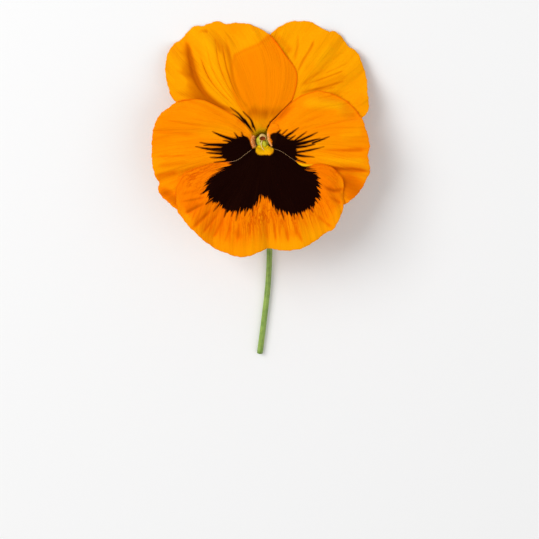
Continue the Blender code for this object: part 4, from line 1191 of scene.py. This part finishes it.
def build_stalk():
    """Receptacle with a notch for the spur, bent neck and cut stalk."""
    angle = turns(STALK_COLUMNS)
    notch_y, notch_radius = SPUR_NOTCH
    toward = np.sin(angle) * notch_y
    inside = toward ** 2 - notch_y ** 2 + notch_radius ** 2
    reach = np.where((inside > 0) & (toward > 0), toward - np.sqrt(np.maximum(inside, 0)), np.inf)
    rings = []
    for depth, radius in RECEPTACLE:
        spread = np.minimum(radius, reach) if depth > NOTCH_END else np.full(STALK_COLUMNS, radius)
        rings.append(laid(np.column_stack([spread * np.cos(angle), spread * np.sin(angle),
                                           np.full(STALK_COLUMNS, depth)])))
    path = curve_through(STALK_PATH, pieces=9)
    middle = to_part(path[:, :3])
    length = np.concatenate([[0], np.cumsum(np.linalg.norm(np.diff(path[:, :3], axis=0), axis=1))])
    ribs = STALK_ROUND + sum(height * np.cos(count * angle + phase) for count, phase, height in STALK_RIBS)
    swell = 1 - STALK_SWELL + STALK_SWELL * np.sin(length * 1.1)
    radii = path[:, 3:] * ribs * swell[:, None] * MM
    stalk = tube_rings(middle, radii, STALK_COLUMNS)
    stalk = np.roll(stalk, -int(np.argmax(stalk[0, :, 0] - middle[0, 0])), axis=1)
    if stalk[0, STALK_COLUMNS // 4, 1] < middle[0, 1]:
        stalk = np.roll(stalk[:, ::-1], 1, axis=1)
    cut = [middle[-1] + (stalk[-1] - middle[-1]) * wide + (middle[-2] - middle[-1]) * sunk
           for wide, sunk in CUT_RINGS]
    share = np.concatenate([np.zeros(len(rings)), length / length[-1], np.ones(len(cut))])
    closed_rings("stem_fine", np.concatenate([rings, stalk, cut]),
                 [stalk_look("stalk_green"), cut_look("stalk_cut")], "stem", share)


def build_bracteoles():
    """Two small scale leaves part way down the stalk."""
    look = sepal_look("bracteole_green")
    u = np.linspace(-1, 1, BRACTEOLE_COLUMNS)[None]
    t = np.linspace(0, 1, BRACTEOLE_ROWS)[:, None]
    outward = np.clip(t * (1 - BRACTEOLE_FOOT) + BRACTEOLE_FOOT, 0, 1)
    half = BRACTEOLE_WIDTH * np.sin(np.pi * outward) ** 0.7 + 0.02
    bow = np.array([0, 0, BRACTEOLE_BOW]) * np.sin(np.pi * t)
    for name, side in (("bracteole_right", 1), ("bracteole_left", -1)):
        foot = np.array(BRACTEOLE_PLACE) + side * np.array(BRACTEOLE_SPREAD)
        middle = foot + np.multiply(BRACTEOLE_LEAN, (side, 1, 1)) * t + bow
        grid = middle[:, None] + (half * u)[..., None] * np.multiply(BRACTEOLE_ACROSS, (1, side, 1))
        grid[..., 2] += BRACTEOLE_CUP * u ** 2
        shell(name, to_part(grid), BRACTEOLE_THICKNESS, [look] * 3, "stem",
              {"sheet": sheet_places(u, t), "face": grid})


def build_sepal(name, direction):
    """A cupped sepal with low nerves, uneven in width, in its own direction round the throat."""
    out = np.array([math.cos(math.radians(direction)), math.sin(math.radians(direction))])
    side = np.array([-out[1], out[0]])
    u = np.linspace(-1, 1, SEPAL_COLUMNS)[None]
    v = np.linspace(0, 1, SEPAL_ROWS)[:, None]
    radius, depth, half_width = np.moveaxis(point_along(curve_through(SEPAL_PATH), v), -1, 0)
    seed = direction * 0.01
    uneven = 1 + sum(high * np.sin(count * v + phase * seed) for count, phase, high in SEPAL_UNEVEN)
    nerves = SEPAL_NERVE * np.cos(u * 9.0) * np.minimum(half_width, 1.0)
    lift = SEPAL_CUP * half_width * u ** 2 - nerves + SEPAL_TWIST * np.sin(14 * v + 3 * u + seed * 7)
    lift = lift * smooth_step(0.02, 0.2, v) * smooth_step(0.995, 0.93, v)
    place = radius[..., None] * out + (u * half_width * uneven)[..., None] * side
    points = np.dstack([place, depth + lift])
    shell(name + "_fine", laid(points), SEPAL_THICKNESS * (1 - 0.5 * np.abs(u) ** 3),
          [sepal_look(name + "_green")] * 3, name, {"sheet": sheet_places(u, v), "face": points})


def build_pistil():
    """Ovary and style, a hollow stigma whose mouth faces down, the lobe below it and a pale thread."""
    green = style_look("style_green")
    for name, path, look in (("style_fine", STYLE_PATH, green), ("stigma_lobe", LOBE_PATH, green),
                             ("stigma_thread", THREAD_PATH, thread_look("thread_cream"))):
        build_rod(name, curve_through(path, pieces=5), ROD_COLUMNS, look, "pistil")

    radius, height = curve_through(STIGMA_PROFILE, pieces=6).T[:, :, None, None]
    axis = unit(np.array(STIGMA_AXIS))
    right = unit(np.cross([0, 1.0, 0], axis))
    angle = -turns(STIGMA_COLUMNS)
    lobes = 1 + sum(high * np.cos(count * angle + phase) for count, phase, high in STIGMA_LOBES)
    ring = lobes[:, None] * circle(angle, right, np.cross(axis, right))
    closed_rings("stigma_fine", laid(np.array(STIGMA_CENTRE) + height * axis + radius * ring),
                 [stigma_look("stigma_cream")], "pistil")


def build_anthers():
    """Five anthers edge to edge round the ovary, each with its tip."""
    v = np.linspace(0, 1, SLEEVE_ROWS)[:, None]
    angle = np.linspace(0, 2 * np.pi, SLEEVE_COLUMNS)[None]
    bulge = ANTHER_BULGE * np.cos(ANTHER_COUNT * angle)
    shoulder = SLEEVE_SHOULDER_DEPTH + SLEEVE_LEAN * np.cos(angle)
    turn = np.clip((v - SLEEVE_SHOULDER) / (1 - SLEEVE_SHOULDER), 0, 1) * np.pi / 2
    at_back, at_shoulder, at_tip = SLEEVE_RADII
    depth = SLEEVE_BACK + (shoulder - SLEEVE_BACK) * np.minimum(v / SLEEVE_SHOULDER, 1)
    depth = depth + (SLEEVE_FRONT - SLEEVE_SHOULDER_DEPTH + bulge) * np.sin(turn)
    radius = at_back + (at_shoulder - at_back) * smooth_step(0.2, SLEEVE_SHOULDER, v)
    radius = radius + bulge * np.cos(turn) - (at_shoulder - at_tip) * (1 - np.cos(turn))
    points = np.dstack([radius * np.sin(angle), radius * np.cos(angle), depth])
    shell("stamens_fine", laid(points), SLEEVE_THICKNESS, [anther_look("anther_yellow")] * 3,
          "stamens", {"sheet": sheet_places(angle / np.pi - 1, v), "face": points})


def claw_surface(petal, place):
    """Depth of a petal's surface near the throat, without its folds."""
    return funnel_depth(petal, place) + shared_depth(place)


def build_lip():
    """The bearded fold at the foot of the right side petal, over the throat. Gives its hairs' roots."""
    along = np.linspace(0, 1, LIP_COLUMNS)
    s = np.linspace(0, 1, LIP_ROWS)[:, None]
    edge = point_along(curve_through(LIP_EDGE), along)
    foot = point_along(curve_through(LIP_FOOT), along)
    foot_depth = claw_surface(LATERAL_RIGHT, foot) - LIP_SINK
    curl = np.maximum(0.0, (s - LIP_CURL_START) / (1 - LIP_CURL_START)) ** 2
    place = foot + (edge[:, :2] - foot) * (s - LIP_CURL_BACK * curl)[..., None]
    rise = LIP_RISE * np.sin(np.pi * s) * np.sin(np.pi * along)
    uneven = LIP_RIPPLE * np.sin(38 * along + 3 * s) * s
    depth = foot_depth + (edge[:, 2] - foot_depth) * s + rise + uneven - LIP_CURL_DROP * curl
    points = np.dstack([place, depth])
    flat = place.reshape(-1, 2)
    ink = np.maximum(ink_depth(LATERAL_RIGHT, flat), stroke_depth(LATERAL_RIGHT, flat))
    shell("lateral_petal_right_lip", laid(points), LIP_THICKNESS, [lip_look("lip_orange")] * 3,
          "lateral_petal_right", {"sheet": sheet_places(along, s), "face": points, "ink": ink})
    draw = np.random.default_rng(LIP_SEED)
    (from_column, to_column), (from_row, to_row) = LIP_HAIRS_AT
    columns = draw.integers(int(LIP_COLUMNS * from_column), LIP_COLUMNS - to_column, LIP_HAIRS)
    rows = draw.integers(int(LIP_ROWS * from_row), LIP_ROWS - to_row, LIP_HAIRS)
    return points[rows, columns]


def build_curl():
    """A short roll of the lower petal's margin, whose yellow back shows."""
    line = curve_through(CURL_PATH, pieces=8)
    height = claw_surface(LATERAL_RIGHT, line[:, :2]) + CURL_LIFT
    rod = np.column_stack([line[:, :2], height, line[:, 2]])
    build_rod("lower_petal_curl", rod, CURL_COLUMNS, curl_look("curl_yellow"), "lower_petal")


def claw_roots():
    """Random points on the left side petal's claw, where its hairs stand."""
    draw = np.random.default_rng(LEFT_SEED)
    angle = np.radians(draw.uniform(*LEFT_HAIR_ANGLES, LEFT_HAIRS))
    away = draw.uniform(*LEFT_HAIR_PLACES, LEFT_HAIRS)
    place = np.column_stack([away * np.cos(angle), away * np.sin(angle)])
    return np.column_stack([place, claw_surface(LATERAL_LEFT, place)])


def build_beard(name, node, roots, longest, seed):
    """Short club-tipped hairs on a side petal that lean over the throat."""
    draw = np.random.default_rng(seed)
    points, faces, sheet = [], [], []
    sides = ring_faces(len(HAIR_SHAPE), HAIR_COLUMNS)
    for root in roots:
        outward = unit(root * (1, 1, 0))
        lean = outward * draw.uniform(*HAIR_LEAN)
        ahead = unit(np.array([0, 0, 1.0]) - lean + draw.normal(0, HAIR_SCATTER, 3))
        side = unit(np.cross(ahead, [0.0, 1.0, 0.1]))
        length = longest * draw.uniform(*HAIR_LENGTHS)
        ring = draw.uniform(*HAIR_RADIUS) * circle(turns(HAIR_COLUMNS), side, np.cross(ahead, side))
        first = len(points) * HAIR_COLUMNS
        for step, wide in HAIR_SHAPE:
            points.append(root + ahead * length * step + wide * ring)
            sheet.append(np.tile([0.0, max(step, 0.0), 0.0], (HAIR_COLUMNS, 1)))
        top = len(points) * HAIR_COLUMNS
        faces += (sides + first).tolist()
        faces.append(list(range(top - HAIR_COLUMNS, top)))
        faces.append(list(range(first, first + HAIR_COLUMNS))[::-1])
    points = np.vstack(points)
    build_mesh(name, laid(points), faces, np.zeros(len(faces)), [beard_look(name)], node,
               {"sheet": np.vstack(sheet), "face": points})


# Floor, light and camera

def build_floor():
    mesh = bpy.data.meshes.new("floor")
    half = FLOOR_HALF
    corners = [(-half, -half, 0), (half, -half, 0), (half, half, 0), (-half, half, 0)]
    mesh.from_pydata(corners, [], [(0, 1, 2, 3)])
    made = Shader("floor_pale")
    made.base = FLOOR_COLOUR
    mesh.materials.append(made.finish(0.9, 0.1))
    link("floor", mesh)


def build_light():
    """A pale sky and two square lamps that face the bloom."""
    world = bpy.data.worlds.new("studio")
    world.use_nodes = True
    sky = world.node_tree.nodes["Background"]
    sky.inputs["Color"].default_value = (1.0, 1.0, 1.0, 1.0)
    sky.inputs["Strength"].default_value = WORLD_STRENGTH
    bpy.context.scene.world = world
    bpy.context.scene.view_settings.view_transform = "Standard"
    for name, place, size, power in LIGHTS:
        data = bpy.data.lights.new(name, "AREA")
        data.shape = "SQUARE"
        data.size = size
        data.energy = power
        lamp = link(name, data)
        lamp.location = place
        lamp.rotation_euler = Vector(np.subtract(LIGHT_TARGET, place)).to_track_quat("-Z", "Y").to_euler()


def build_camera():
    """A camera that looks straight at the bloom's face."""
    sine, cosine = math.sin(TILT), math.cos(TILT)
    across, height = PICTURE_CENTRE
    centre = to_part(np.array([across, height * cosine, THROAT_HEIGHT - height * sine]))
    toward = np.array([0, sine, cosine])
    axes = np.column_stack([[1, 0, 0], [0, cosine, -sine], toward, centre + toward * CAMERA_DISTANCE * MM])
    data = bpy.data.cameras.new("camera")
    data.sensor_width = SENSOR
    data.lens = SENSOR * CAMERA_DISTANCE / PICTURE_WIDTH
    data.clip_start = 0.01
    camera = link("camera", data)
    camera.matrix_world = Matrix(axes.tolist() + [[0, 0, 0, 1]])
    bpy.context.scene.camera = camera


for each in PETALS:
    build_petal(each)
build_beard("beard_left", "lateral_petal_left", claw_roots(), LEFT_HAIR_LENGTH, LEFT_SEED)
build_beard("beard_right", "lateral_petal_right", build_lip(), LIP_HAIR_LENGTH, LIP_SEED)
build_curl()
for sepal_name, sepal_direction in SEPALS.items():
    build_sepal(sepal_name, sepal_direction)
build_stalk()
build_bracteoles()
build_pistil()
build_anthers()
build_floor()
build_light()
build_camera()
